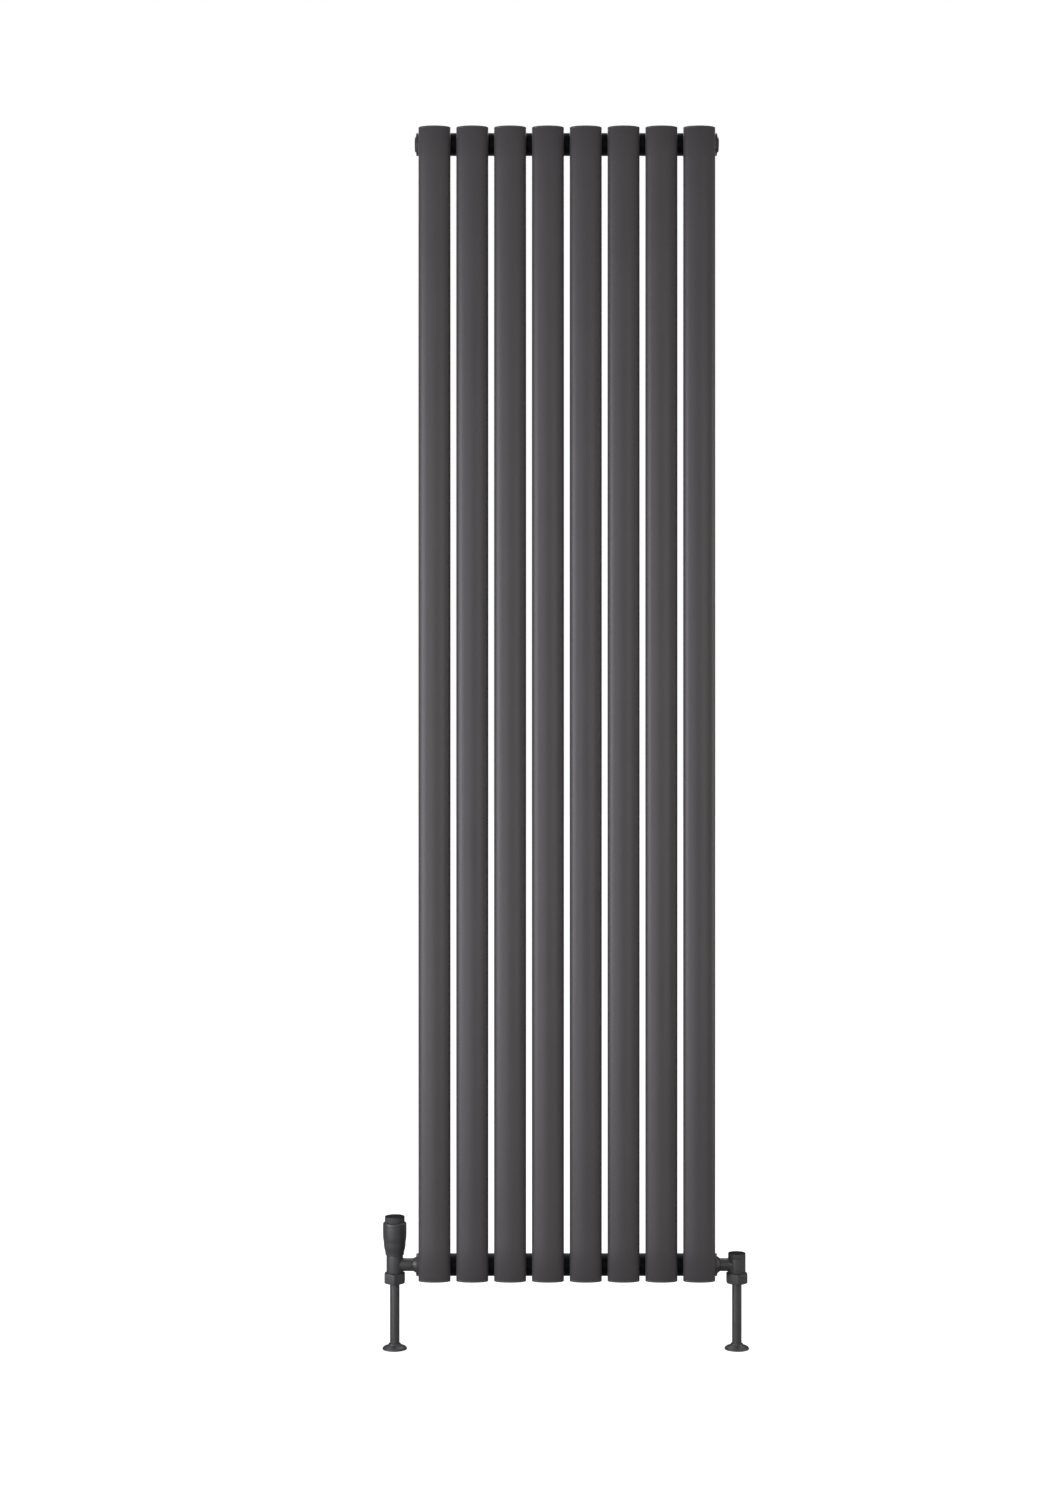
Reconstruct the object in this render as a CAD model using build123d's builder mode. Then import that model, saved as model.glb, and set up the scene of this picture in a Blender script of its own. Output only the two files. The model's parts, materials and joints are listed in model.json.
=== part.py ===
from build123d import *
import os

os.makedirs("parts", exist_ok=True)

# A tall wall radiator: upright oval tubes stand in front of an upper and a lower header, with a
# thermostatic valve at the lower left, a lockshield valve at the lower right, an air vent at the
# upper right and pipe tails down through the floor.
# X points right, Y towards the wall, Z up. The origin is on the wall, midway between the four
# fixings. Sizes are in millimetres.

# ---- Driving dimensions: tubes and headers
HEIGHT = 1800.0
TUBE_COUNT = 8
TUBE_PITCH = 59.0
TUBE_WIDE = 50.0
TUBE_DEEP = 25.0
TUBE_WALL = 1.5
CAP_THICK = 2.5
CAP_STEP = 6.0
CAP_EDGE = 1.0
PORT_R = 6.0
HEADER_R = 17.5
HEADER_WALL = 2.0
HEADER_INSET = 20.0
HEADER_TO_WALL = 43.0
TUBE_TO_WALL = 69.5
WELD_GAP = 0.05

# ---- Driving dimensions: shared fits
FIT = 0.05
THREAD_FIT = 0.1
HEX_OUTSIDE = 0.6
TAN_30 = 0.577

# ---- Driving dimensions: half-inch ports at the headers' ends
BOSS_RIM = 5.0
BOSS_STEP = 8.0
BORE_R = 10.5
THREAD_R = 10.4
THREAD_LONG = 12.0
PLUG_FLATS = 22.0
BLANK_HEAD = 2.2
VENT_HEAD = 2.6
NOZZLE_R = 6.4
NOZZLE_LOW = -1.5
NOZZLE_HIGH = 2.8
NOZZLE_EDGE = 0.6
KEYHOLE_R = 3.7
SPOUT_R = 0.9
SPOUT_OFF = 5.0
BLEED_R = 3.0
BLEED_SQUARE = 4.6
BLEED_SQUARE_LONG = 3.7
BLEED_SEAT = -9.0
BLEED_TIP = -9.6
BLEED_HOLE_R = 1.5
BLEED_GROOVE_R = 1.7
BLEED_GROOVE = (-4.0, -2.4)
BLEED_SEAL = (2.35, 0.6, -3.2)
PLUG_GROOVE_R = 8.9
PLUG_GROOVE = (-4.1, -2.4)
PLUG_SEAL = (9.7, 0.75, -3.25)
PLUG_HOLLOW_R = 6.5
PLUG_FLOOR = -2.0

# ---- Driving dimensions: brackets
LUG_X = 2.5 * TUBE_PITCH
LUG_THICK = 4.0
LUG_HIGH = 30.0
LUG_BACK_Y = -9.0
BOLT_Y = -16.0
BOLT_R = 3.9
BOLT_HOLE_R = 4.05
BOLT_FLATS = 13.0
BOLT_HEAD = 5.3
NUT_THICK = 6.5
WASHER_R = 8.0
WASHER_THICK = 1.6
PLATE = 3.0
LEG_WIDE = 23.0
LEG_HIGH = 60.0
ARM_HIGH = 28.0
ARM_TIP_Y = -24.9
SLOT_LONG = 16.0
SLOT_WIDE = 8.6
SLOT_Y = -14.0
WALL_HOLE_X = 162.0
WALL_HOLE_R = 4.0
WALL_HOLE_RISE = 20.0
BEND_R = 2.0
LUG_CORNER_R = 4.0
BOLT_END = 1.5

# ---- Driving dimensions: valves. Heights are counted from the lower header's centre line.
TRV_REACH = 34.0
TRV_BODY_R = 13.0
TRV_BODY_TOP = 18.0
LS_REACH = 31.5
LS_BODY_R = 13.65
LS_BODY_TOP = 10.5
BODY_LOW = -12.5
NECK_LOW = -23.0
BRANCH_R = 10.0
BRANCH_START = 5.0
SOCKET_R = 8.05
SOCKET_LONG = 10.0
BRANCH_BORE_R = 7.0
CHAMBER_R = 9.0
CHAMBER_LOW = -8.0
SEAT_R = 5.5
SEAT_LIP_R = 6.5
SEAT_TOP = -7.0
CASTING_FILLET = 1.5
TAIL_R = 8.0
TAIL_BORE_R = 5.5
TAIL_OUT = 14.0
COLLAR_WIDE_R = 13.8
NUT_FLATS = 31.4
NUT_LOW = -28.5
NUT_MOUTH_LOW = -24.5
NUT_FLOOR = -27.0
NUT_HOLE_R = 7.7
SOCKET_MOUTH_R = 9.4
SOCKET_CONE_TOP = -20.5
TAIL_GROOVE_R = 6.6
TAIL_GROOVE = (8.0, 10.0)
TAIL_SEAL = (7.28, 0.66, 9.0)
OLIVE_R = 9.1
OLIVE_LEVELS = (-26.5, -25.0, -23.2, -21.4)
OLIVE_LOW_R = 8.1
OLIVE_HIGH_R = 7.9
OLIVE_FIT = 0.02
STEM_R = 2.0
DISC_R = 7.2

# ---- Driving dimensions: pipes and floor
PIPE_R = 7.5
PIPE_WALL = 1.0
PIPE_TOP = -15.0
FLOOR = -132.5
PIPE_BELOW_FLOOR = 30.0
WITNESS_UP = 23.8
WITNESS_WIDE = 1.2
WITNESS_R = 7.2
FLOOR_COLLAR_R = 19.3
FLOOR_COLLAR_HIGH = 9.0
COLLAR_BORE_R = 7.6
ROSE_EDGE = 1.2
ROSE_SHOULDER = (15.6, 4.8)
ROSE_WAIST = (11.4, 6.3)
ROSE_NECK_R = 9.5
ROSE_START = (-0.4, 1)
ROSE_FLAT = (-1, 0.25)
ROSE_END = (-0.05, 1)

# ---- Places that follow
HEADER_Z = HEIGHT / 2 - HEADER_INSET
HEADER_Y = -HEADER_TO_WALL
TUBE_Y = -TUBE_TO_WALL
TUBE_LONG = HEIGHT - 2 * CAP_THICK
FACE_X = TUBE_COUNT * TUBE_PITCH / 2
TUBE_XS = [(i - (TUBE_COUNT - 1) / 2) * TUBE_PITCH for i in range(TUBE_COUNT)]
TUBE_CENTRES = [(x, TUBE_Y) for x in TUBE_XS]
CORNERS = [(side, up) for up in (1, -1) for side in (-1, 1)]
SIDE_NAMES = {-1: "left", 1: "right"}
LEVEL_NAMES = {1: "upper", -1: "lower"}


def save(piece, name):
    """Label a finished piece and write it as parts/name.step."""
    piece.part.label = name
    export_step(piece.part, f"parts/{name}.step")


def upright(x):
    """Plane for pieces turned about a valve's axis at x: (radius, height over the lower header)."""
    return Plane(origin=(x, HEADER_Y, -HEADER_Z), x_dir=(1, 0, 0), z_dir=(0, -1, 0))


def lying(side, up):
    """Plane for pieces turned about a header's line: (radius, distance out of its end face)."""
    end = (side * FACE_X, HEADER_Y, up * HEADER_Z)
    return Plane(origin=end, x_dir=(0, 0, 1), z_dir=(0, side, 0))


def port_face(side, up, out):
    """Plane across a header's line, facing away from it, at a distance out of its end face."""
    centre = (side * (FACE_X + out), HEADER_Y, up * HEADER_Z)
    return Plane(origin=centre, x_dir=(0, 0, 1), z_dir=(side, 0, 0))


def ring(inner, outer, low, high):
    """Outline of a plain turned ring, or of a disc where the inner radius is 0."""
    return [(inner, low), (outer, low), (outer, high), (inner, high)]


def turn(outline, plane, mode=Mode.ADD):
    """Turn a closed outline of (radius, distance) points once round the plane's own Y line."""
    with BuildSketch(plane) as profile:
        with BuildLine():
            Polyline(*outline, close=True)
        make_face()
    revolve(profile.sketch, axis=Axis(plane.origin, plane.y_dir), mode=mode)


def o_ring(plane, ring_r, cord_r, height):
    """A rubber ring of round cord."""
    with BuildPart() as seal:
        with BuildSketch(plane) as section:
            with Locations((ring_r, height)):
                Circle(cord_r)
        revolve(section.sketch, axis=Axis(plane.origin, plane.y_dir))
    return seal


def hex_block(plane, flats, thick, turned=0.0):
    """Add a hexagonal block that stands on the plane."""
    with BuildSketch(plane) as outline:
        RegularPolygon(flats / 2, 6, major_radius=False, rotation=turned)
    extrude(outline.sketch, amount=thick)


def break_corners(plane, flats, height, inward):
    """Turn the sharp corners off one end of a hexagon, at 30 degrees."""
    outside = HEX_OUTSIDE * flats
    depth = (outside - flats / 2) * TAN_30
    corner = [(flats / 2, height), (outside, height), (outside, height + inward * depth)]
    turn(corner, plane, Mode.SUBTRACT)


# ---- Tubes
for number, tube_x in enumerate(TUBE_XS, start=1):
    with BuildPart() as tube:
        with BuildSketch(Plane.XY.offset(-TUBE_LONG / 2)):
            with Locations((tube_x, TUBE_Y)):
                Ellipse(TUBE_WIDE / 2, TUBE_DEEP / 2)
                Ellipse(TUBE_WIDE / 2 - TUBE_WALL, TUBE_DEEP / 2 - TUBE_WALL, mode=Mode.SUBTRACT)
        extrude(amount=TUBE_LONG)
        # One port into each header, through the rear wall only.
        with BuildSketch(Plane(origin=(tube_x, TUBE_Y, 0), x_dir=(1, 0, 0), z_dir=(0, 1, 0))):
            with Locations((0, HEADER_Z), (0, -HEADER_Z)):
                Circle(PORT_R)
        extrude(amount=TUBE_DEEP, mode=Mode.SUBTRACT)
    save(tube, f"tube_{number}")

# ---- Plates that close the tubes, each with a step that locates it inside the tube
with BuildPart() as tube_end_caps:
    for up in (1, -1):
        with BuildSketch(Plane.XY.offset(up * TUBE_LONG / 2)):
            with Locations(*TUBE_CENTRES):
                Ellipse(TUBE_WIDE / 2, TUBE_DEEP / 2)
        extrude(amount=up * CAP_THICK)
    level_faces = tube_end_caps.faces().filter_by(Axis.Z).group_by(Axis.Z)
    fillet([edge for face in level_faces[0] + level_faces[-1] for edge in face.edges()], CAP_EDGE)
    inset = TUBE_WALL + WELD_GAP
    for up in (1, -1):
        with BuildSketch(Plane.XY.offset(up * TUBE_LONG / 2)):
            with Locations(*TUBE_CENTRES):
                Ellipse(TUBE_WIDE / 2 - inset, TUBE_DEEP / 2 - inset)
        extrude(amount=-up * CAP_STEP)
save(tube_end_caps, "tube_end_caps")

# ---- Headers, with a saddle for each tube
for up, level in LEVEL_NAMES.items():
    with BuildPart() as header:
        with BuildSketch(Plane.YZ.offset(BOSS_RIM - FACE_X)):
            with Locations((HEADER_Y, up * HEADER_Z)):
                Circle(HEADER_R)
                Circle(HEADER_R - HEADER_WALL, mode=Mode.SUBTRACT)
        extrude(amount=2 * (FACE_X - BOSS_RIM))
        with BuildSketch(Plane.XY.offset(up * HEADER_Z - 2 * HEADER_R)):
            with Locations(*TUBE_CENTRES):
                Ellipse(TUBE_WIDE / 2, TUBE_DEEP / 2)
        extrude(amount=4 * HEADER_R, mode=Mode.SUBTRACT)
    save(header, f"{level}_header")

# ---- Threaded bosses welded into the headers' ends
for side, up in CORNERS:
    with BuildPart() as boss:
        step_r = HEADER_R - HEADER_WALL - WELD_GAP
        turn(ring(BORE_R, step_r, -BOSS_RIM - BOSS_STEP, -BOSS_RIM), lying(side, up))
        turn(ring(BORE_R, HEADER_R, -BOSS_RIM, 0), lying(side, up))
    save(boss, f"boss_{LEVEL_NAMES[up]}_{SIDE_NAMES[side]}")


# ---- Plugs in the upper ports
def plug_blank(side, head):
    """Add a plug's hexagon head, thread and seal groove, still without any bore."""
    hex_block(port_face(side, 1, 0), PLUG_FLATS, head)
    break_corners(lying(side, 1), PLUG_FLATS, head, -1)
    turn(ring(0, THREAD_R, -THREAD_LONG, 0), lying(side, 1))
    turn(ring(PLUG_GROOVE_R, BORE_R, *PLUG_GROOVE), lying(side, 1), Mode.SUBTRACT)


with BuildPart() as blanking_plug:
    plug_blank(-1, BLANK_HEAD)
    # The plug is hollow from its water side.
    turn(ring(0, PLUG_HOLLOW_R, -THREAD_LONG, PLUG_FLOOR), lying(-1, 1), Mode.SUBTRACT)
save(blanking_plug, "blanking_plug")
save(o_ring(lying(-1, 1), *PLUG_SEAL), "blanking_plug_seal")

vent_line = lying(1, 1)
nozzle_seat = NOZZLE_LOW - THREAD_FIT
with BuildPart() as vent_plug:
    plug_blank(1, VENT_HEAD)
    turn(ring(0, NOZZLE_R + THREAD_FIT, nozzle_seat, VENT_HEAD), vent_line, Mode.SUBTRACT)
    turn(ring(0, BLEED_R + FIT, BLEED_SEAT, nozzle_seat), vent_line, Mode.SUBTRACT)
    # The bleed screw's cone closes this narrow hole.
    turn(ring(0, BLEED_HOLE_R, -THREAD_LONG, BLEED_SEAT), vent_line, Mode.SUBTRACT)
save(vent_plug, "vent_plug")
save(o_ring(vent_line, *PLUG_SEAL), "vent_plug_seal")

with BuildPart() as vent_nozzle:
    turn(ring(KEYHOLE_R, NOZZLE_R, NOZZLE_LOW, NOZZLE_HIGH), vent_line)
    rim = vent_nozzle.faces().sort_by(Axis.X)[-1].edges().sort_by(SortBy.RADIUS)[-1]
    fillet(rim, NOZZLE_EDGE)
    # The spout that is turned to point the jet.
    with BuildSketch(port_face(1, 1, NOZZLE_LOW)):
        with Locations((-SPOUT_OFF, 0)):
            Circle(SPOUT_R)
    extrude(amount=NOZZLE_HIGH - NOZZLE_LOW, mode=Mode.SUBTRACT)
save(vent_nozzle, "vent_nozzle")

with BuildPart() as bleed_screw:
    stem = [
        (0, BLEED_TIP),
        (0.8, BLEED_TIP),
        (1.35, -9.1),
        (2.7, -8.0),
        (BLEED_R, -7.8),
        (BLEED_R, NOZZLE_LOW),
        (0, NOZZLE_LOW),
    ]
    turn(stem, vent_line)
    turn(ring(BLEED_GROOVE_R, BLEED_R, *BLEED_GROOVE), vent_line, Mode.SUBTRACT)
    with BuildSketch(port_face(1, 1, NOZZLE_LOW)):
        Rectangle(BLEED_SQUARE, BLEED_SQUARE)
    extrude(amount=BLEED_SQUARE_LONG)
save(bleed_screw, "bleed_screw")
save(o_ring(vent_line, *BLEED_SEAL), "bleed_screw_seal")

# ---- Hanging lugs on the back of the headers
with BuildPart() as hanging_lugs:
    for side, up in CORNERS:
        with BuildSketch(Plane.YZ.offset(side * LUG_X - LUG_THICK / 2)):
            with Locations(((HEADER_Y + HEADER_R / 2 + LUG_BACK_Y) / 2, up * HEADER_Z)):
                Rectangle(LUG_BACK_Y - HEADER_Y - HEADER_R / 2, LUG_HIGH)
            with Locations((BOLT_Y, up * HEADER_Z)):
                Circle(BOLT_HOLE_R, mode=Mode.SUBTRACT)
        extrude(amount=LUG_THICK)
    rear_corners = hanging_lugs.edges().filter_by(Axis.X).group_by(Axis.Y)[-1]
    fillet(rear_corners, LUG_CORNER_R)
    for up in (1, -1):
        with BuildSketch(Plane.YZ.offset(-FACE_X)):
            with Locations((HEADER_Y, up * HEADER_Z)):
                Circle(HEADER_R)
        extrude(amount=2 * FACE_X, mode=Mode.SUBTRACT)
save(hanging_lugs, "hanging_lugs")

# ---- Wall brackets: a leg with two screw holes on the wall, and a slotted arm beside the lug
for side, up in CORNERS:
    arm_x = side * (LUG_X + LUG_THICK / 2)
    bracket_z = up * HEADER_Z
    with BuildPart() as bracket:
        with BuildSketch(Plane.XZ):
            with Locations((arm_x + side * LEG_WIDE / 2, bracket_z)):
                Rectangle(LEG_WIDE, LEG_HIGH)
            hole_levels = (bracket_z - WALL_HOLE_RISE, bracket_z + WALL_HOLE_RISE)
            with Locations(*[(side * WALL_HOLE_X, level) for level in hole_levels]):
                Circle(WALL_HOLE_R, mode=Mode.SUBTRACT)
        extrude(amount=PLATE)
        with BuildSketch(Plane.YZ.offset(arm_x)):
            with Locations((ARM_TIP_Y / 2, bracket_z)):
                Rectangle(-ARM_TIP_Y, ARM_HIGH)
            with Locations((SLOT_Y, bracket_z)):
                SlotOverall(SLOT_LONG, SLOT_WIDE, mode=Mode.SUBTRACT)
        extrude(amount=side * PLATE)
        leg_corners = bracket.edges().filter_by(Axis.Y).group_by(SortBy.LENGTH)[0].sort_by(Axis.X)
        fillet(leg_corners[-2:] if side > 0 else leg_corners[:2], BEND_R)
    save(bracket, f"wall_bracket_{LEVEL_NAMES[up]}_{SIDE_NAMES[side]}")


def bolt_plane(side, up, from_lug):
    """Plane across a bracket bolt's axis, facing outwards, at a distance from the lug's outer face."""
    face_x = side * (LUG_X + LUG_THICK / 2 + from_lug)
    return Plane(origin=(face_x, BOLT_Y, up * HEADER_Z), x_dir=(0, 0, 1), z_dir=(side, 0, 0))


HEAD_AT = PLATE + WASHER_THICK
NUT_AT = -LUG_THICK - NUT_THICK

with BuildPart() as bracket_bolts:
    for side, up in CORNERS:
        hex_block(bolt_plane(side, up, HEAD_AT), BOLT_FLATS, BOLT_HEAD)
        with BuildSketch(bolt_plane(side, up, NUT_AT - BOLT_END)):
            Circle(BOLT_R)
        extrude(amount=HEAD_AT - NUT_AT + BOLT_END)
save(bracket_bolts, "bracket_bolts")

with BuildPart() as bracket_washers:
    for side, up in CORNERS:
        with BuildSketch(bolt_plane(side, up, PLATE)):
            Circle(WASHER_R)
            Circle(BOLT_HOLE_R, mode=Mode.SUBTRACT)
        extrude(amount=WASHER_THICK)
save(bracket_washers, "bracket_washers")

with BuildPart() as bracket_nuts:
    for side, up in CORNERS:
        with BuildSketch(bolt_plane(side, up, NUT_AT)):
            RegularPolygon(BOLT_FLATS / 2, 6, major_radius=False)
            Circle(BOLT_HOLE_R, mode=Mode.SUBTRACT)
        extrude(amount=NUT_THICK)
save(bracket_nuts, "bracket_nuts")


# ---- What the two valves share
def valve_body(side, reach, body_r, body_top):
    """A cast angle body: a pipe socket below, a seat in the middle and a branch to the radiator."""
    axis = upright(side * (FACE_X + reach))
    branch = lying(side, -1)
    with BuildPart() as body:
        turn(ring(0, body_r, BODY_LOW, body_top), axis)
        turn(ring(0, BRANCH_R, BRANCH_START, reach), branch)
        meeting = [e for e in body.edges() if e.geom_type not in (GeomType.LINE, GeomType.CIRCLE)]
        fillet(meeting, CASTING_FILLET)
        turn(ring(0, THREAD_R, NECK_LOW, BODY_LOW), axis)
        waterway = [
            (0, NECK_LOW),
            (SOCKET_MOUTH_R, NECK_LOW),
            (PIPE_R + FIT, SOCKET_CONE_TOP),
            (PIPE_R + FIT, PIPE_TOP),
            (SEAT_R, PIPE_TOP),
            (SEAT_R, SEAT_TOP),
            (SEAT_LIP_R, SEAT_TOP),
            (SEAT_LIP_R, CHAMBER_LOW),
            (CHAMBER_R, CHAMBER_LOW),
            (CHAMBER_R, body_top),
            (0, body_top),
        ]
        turn(waterway, axis, Mode.SUBTRACT)
        socket_end = BRANCH_START + SOCKET_LONG
        turn(ring(0, SOCKET_R, BRANCH_START, socket_end), branch, Mode.SUBTRACT)
        turn(ring(0, BRANCH_BORE_R, socket_end, reach), branch, Mode.SUBTRACT)
    return body


def valve_tail(side):
    """The nipple screwed into the lower boss, with a plain end and a seal groove for the valve."""
    with BuildPart() as tail:
        turn(ring(TAIL_BORE_R, THREAD_R, -THREAD_LONG, 0), lying(side, -1))
        turn(ring(TAIL_BORE_R, TAIL_R, 0, TAIL_OUT), lying(side, -1))
        turn(ring(TAIL_GROOVE_R, TAIL_R, *TAIL_GROOVE), lying(side, -1), Mode.SUBTRACT)
    return tail


def tail_collar(side):
    """The coned lock ring between the boss and the valve's branch."""
    inner = TAIL_R + FIT
    cone = [(inner, 0), (COLLAR_WIDE_R, 0), (BRANCH_R, BRANCH_START), (inner, BRANCH_START)]
    with BuildPart() as collar:
        turn(cone, lying(side, -1))
    return collar


def compression_nut(x, turned):
    """The hexagon nut that squeezes the olive on to the pipe."""
    axis = upright(x)
    with BuildPart() as nut:
        nut_plane = Plane(origin=(x, HEADER_Y, NUT_LOW - HEADER_Z))
        hex_block(nut_plane, NUT_FLATS, BODY_LOW - NUT_LOW, turned)
        break_corners(axis, NUT_FLATS, NUT_LOW, 1)
        break_corners(axis, NUT_FLATS, BODY_LOW, -1)
        inside = [
            (0, NUT_LOW),
            (NUT_HOLE_R, NUT_LOW),
            (NUT_HOLE_R, NUT_FLOOR),
            (THREAD_R + THREAD_FIT, NUT_MOUTH_LOW),
            (THREAD_R + THREAD_FIT, BODY_LOW),
            (0, BODY_LOW),
        ]
        turn(inside, axis, Mode.SUBTRACT)
    return nut


def olive(x):
    """The soft barrel-shaped ring that grips the pipe."""
    grip_r = PIPE_R + OLIVE_FIT
    foot, belly_low, belly_high, tip = OLIVE_LEVELS
    section = [
        (grip_r, foot),
        (OLIVE_LOW_R, foot),
        (OLIVE_R, belly_low),
        (OLIVE_R, belly_high),
        (OLIVE_HIGH_R, tip),
        (grip_r, tip),
    ]
    with BuildPart() as barrel:
        turn(section, upright(x))
    return barrel


def pipe_tail(x):
    """A pipe from the valve down through the floor, with a witness line for the coupling below."""
    low = FLOOR - PIPE_BELOW_FLOOR
    with BuildPart() as pipe:
        turn(ring(PIPE_R - PIPE_WALL, PIPE_R, low, PIPE_TOP), upright(x))
        mark = ring(WITNESS_R, PIPE_R, low + WITNESS_UP, low + WITNESS_UP + WITNESS_WIDE)
        turn(mark, upright(x), Mode.SUBTRACT)
    return pipe


def floor_collar(x):
    """The loose pressed rose that covers the hole in the floor."""
    with BuildPart() as rose:
        with BuildSketch(upright(x)) as profile:
            with BuildLine():
                top = FLOOR + FLOOR_COLLAR_HIGH
                rim = (FLOOR_COLLAR_R, FLOOR + ROSE_EDGE)
                foot = Polyline((COLLAR_BORE_R, FLOOR), (FLOOR_COLLAR_R, FLOOR), rim)
                shoulder = (ROSE_SHOULDER[0], FLOOR + ROSE_SHOULDER[1])
                waist = (ROSE_WAIST[0], FLOOR + ROSE_WAIST[1])
                dome = Spline(foot @ 1, shoulder, waist, tangents=[ROSE_START, ROSE_FLAT])
                neck = Spline(dome @ 1, (ROSE_NECK_R, top), tangents=[ROSE_FLAT, ROSE_END])
                Polyline(neck @ 1, (COLLAR_BORE_R, top), foot @ 0)
            make_face()
        revolve(profile.sketch, axis=Axis(upright(x).origin, (0, 0, 1)))
    return rose


VALVES = [
    ("trv", -1, TRV_REACH, TRV_BODY_R, TRV_BODY_TOP, 30.0, "supply_pipe"),
    ("ls", 1, LS_REACH, LS_BODY_R, LS_BODY_TOP, 32.6, "return_pipe"),
]
for name, side, reach, body_r, body_top, nut_turn, pipe_name in VALVES:
    valve_x = side * (FACE_X + reach)
    if name == "trv":
        save(valve_body(side, reach, body_r, body_top), "trv_body")
    save(valve_tail(side), f"{name}_tail")
    save(o_ring(lying(side, -1), *TAIL_SEAL), f"{name}_tail_seal")
    save(tail_collar(side), f"{name}_tail_collar")
    save(compression_nut(valve_x, nut_turn), f"{name}_compression_nut")
    save(olive(valve_x), f"{name}_olive")
    save(pipe_tail(valve_x), pipe_name)
    save(floor_collar(valve_x), f"floor_collar_{SIDE_NAMES[side]}")

# ---- Inside the thermostatic valve
trv_axis = upright(-FACE_X - TRV_REACH)
BONNET_LOW = 9.0
BONNET_FLANGE_R = 12.2
BONNET_FLANGE_TOP = 21.0
NECK_R = 10.9
NECK_TOP = 30.0
SPRING_LOW = 11.0
SPRING_HIGH = 20.0
SPRING_PLATE_TOP = 21.5
CAVITY_R = 6.5
CAVITY_TOP = 24.0
GUIDE_R = STEM_R + 0.1
GLAND_R = 3.9
GLAND = (26.4, 28.6)
GLAND_SEAL = (2.95, 0.9, 27.5)
PUSH_TOP = 33.0
STEM_LOW = -5.6
CARRIER = (-3.75, -2.25)
WASHER_LOW = -5.75

with BuildPart() as trv_bonnet:
    turn(ring(0, CHAMBER_R - FIT, BONNET_LOW, TRV_BODY_TOP), trv_axis)
    turn(ring(0, BONNET_FLANGE_R, TRV_BODY_TOP, BONNET_FLANGE_TOP), trv_axis)
    turn(ring(0, NECK_R, BONNET_FLANGE_TOP, NECK_TOP), trv_axis)
    turn(ring(0, CAVITY_R, SPRING_LOW, CAVITY_TOP), trv_axis, Mode.SUBTRACT)
    turn(ring(0, GUIDE_R, BONNET_LOW, NECK_TOP), trv_axis, Mode.SUBTRACT)
    turn(ring(0, GLAND_R, *GLAND), trv_axis, Mode.SUBTRACT)
save(trv_bonnet, "trv_bonnet")
save(o_ring(trv_axis, *GLAND_SEAL), "trv_gland_seal")

with BuildPart() as trv_spindle:
    turn(ring(0, STEM_R, STEM_LOW, PUSH_TOP), trv_axis)
    turn(ring(0, CAVITY_R - 1.0, SPRING_HIGH, SPRING_PLATE_TOP), trv_axis)
    turn(ring(0, DISC_R, *CARRIER), trv_axis)
save(trv_spindle, "trv_spindle")

with BuildPart() as trv_plug_washer:
    turn(ring(STEM_R + OLIVE_FIT, DISC_R - 0.3, WASHER_LOW, CARRIER[0]), trv_axis)
save(trv_plug_washer, "trv_plug_washer")

SPRING_R = 4.2
SPRING_WIRE_R = 0.55
SPRING_PITCH = 1.9
SPRING_GAP = 0.1
spring_foot = SPRING_LOW + SPRING_WIRE_R + SPRING_GAP
spring_rise = SPRING_HIGH - SPRING_LOW - 2 * (SPRING_WIRE_R + SPRING_GAP)
with BuildPart() as return_spring:
    spring_centre = (-FACE_X - TRV_REACH, HEADER_Y, spring_foot - HEADER_Z)
    with BuildLine() as coil:
        Helix(pitch=SPRING_PITCH, height=spring_rise, radius=SPRING_R, center=spring_centre)
    with BuildSketch(Plane(origin=coil.line @ 0, z_dir=coil.line % 0)):
        Circle(SPRING_WIRE_R)
    sweep(is_frenet=True)
save(return_spring, "trv_return_spring")

# ---- The thermostatic head
BASE_LOW = 21.2
BASE_HOLE_R = 4.0
BASE_SHELL = 1.8
SENSOR_PIN_R = 3.0
SENSOR_EDGE = 1.0
SKIRT_POINTS = [(14.9, 20.4), (16.6, 28.0), (17.3, 36.1), (18.2, 43.0), (18.5, 54.9), (18.4, 64.2)]
SHOULDER_R = 16.2
SHOULDER_TANGENT = (-0.03, 1)
WHEEL_LIP_R = 14.4
WHEEL_LINE = (18.1, 19.0, 60.1, 60.8)
HEAD_CAP_EDGE = 1.4
HEAD_CAP_SKIN = 2.2
HEAD_CAP_BORE_R = 9.5
BASE_FLOOR = 31.0
BASE_FLOOR_TOP = 33.0
BASE_TOP = 52.0
BASE_COLLAR_R = 13.2
BASE_WALL_R = 15.0
SENSOR_R = 11.0
SENSOR_LOW = 35.0
SENSOR_TOP = 58.0
WHEEL_LOW = 15.7
WHEEL_TOP = 66.7
WHEEL_SKIRT_R = 13.7
WHEEL_INNER_R = 15.3
WHEEL_STEP = 29.5
WHEEL_HOLE_R = 14.0
HEAD_CAP_R = 15.5
HEAD_CAP_TOP = 76.5

with BuildPart() as trv_head_base:
    base_outline = [
        (NECK_R + FIT, BASE_LOW),
        (BASE_COLLAR_R, BASE_LOW),
        (BASE_COLLAR_R, BASE_FLOOR),
        (BASE_WALL_R, BASE_FLOOR),
        (BASE_WALL_R, BASE_TOP),
        (BASE_WALL_R - BASE_SHELL, BASE_TOP),
        (BASE_WALL_R - BASE_SHELL, BASE_FLOOR_TOP),
        (BASE_HOLE_R, BASE_FLOOR_TOP),
        (BASE_HOLE_R, BASE_FLOOR),
        (NECK_R + FIT, BASE_FLOOR),
    ]
    turn(base_outline, trv_axis)
save(trv_head_base, "trv_head_base")

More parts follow.
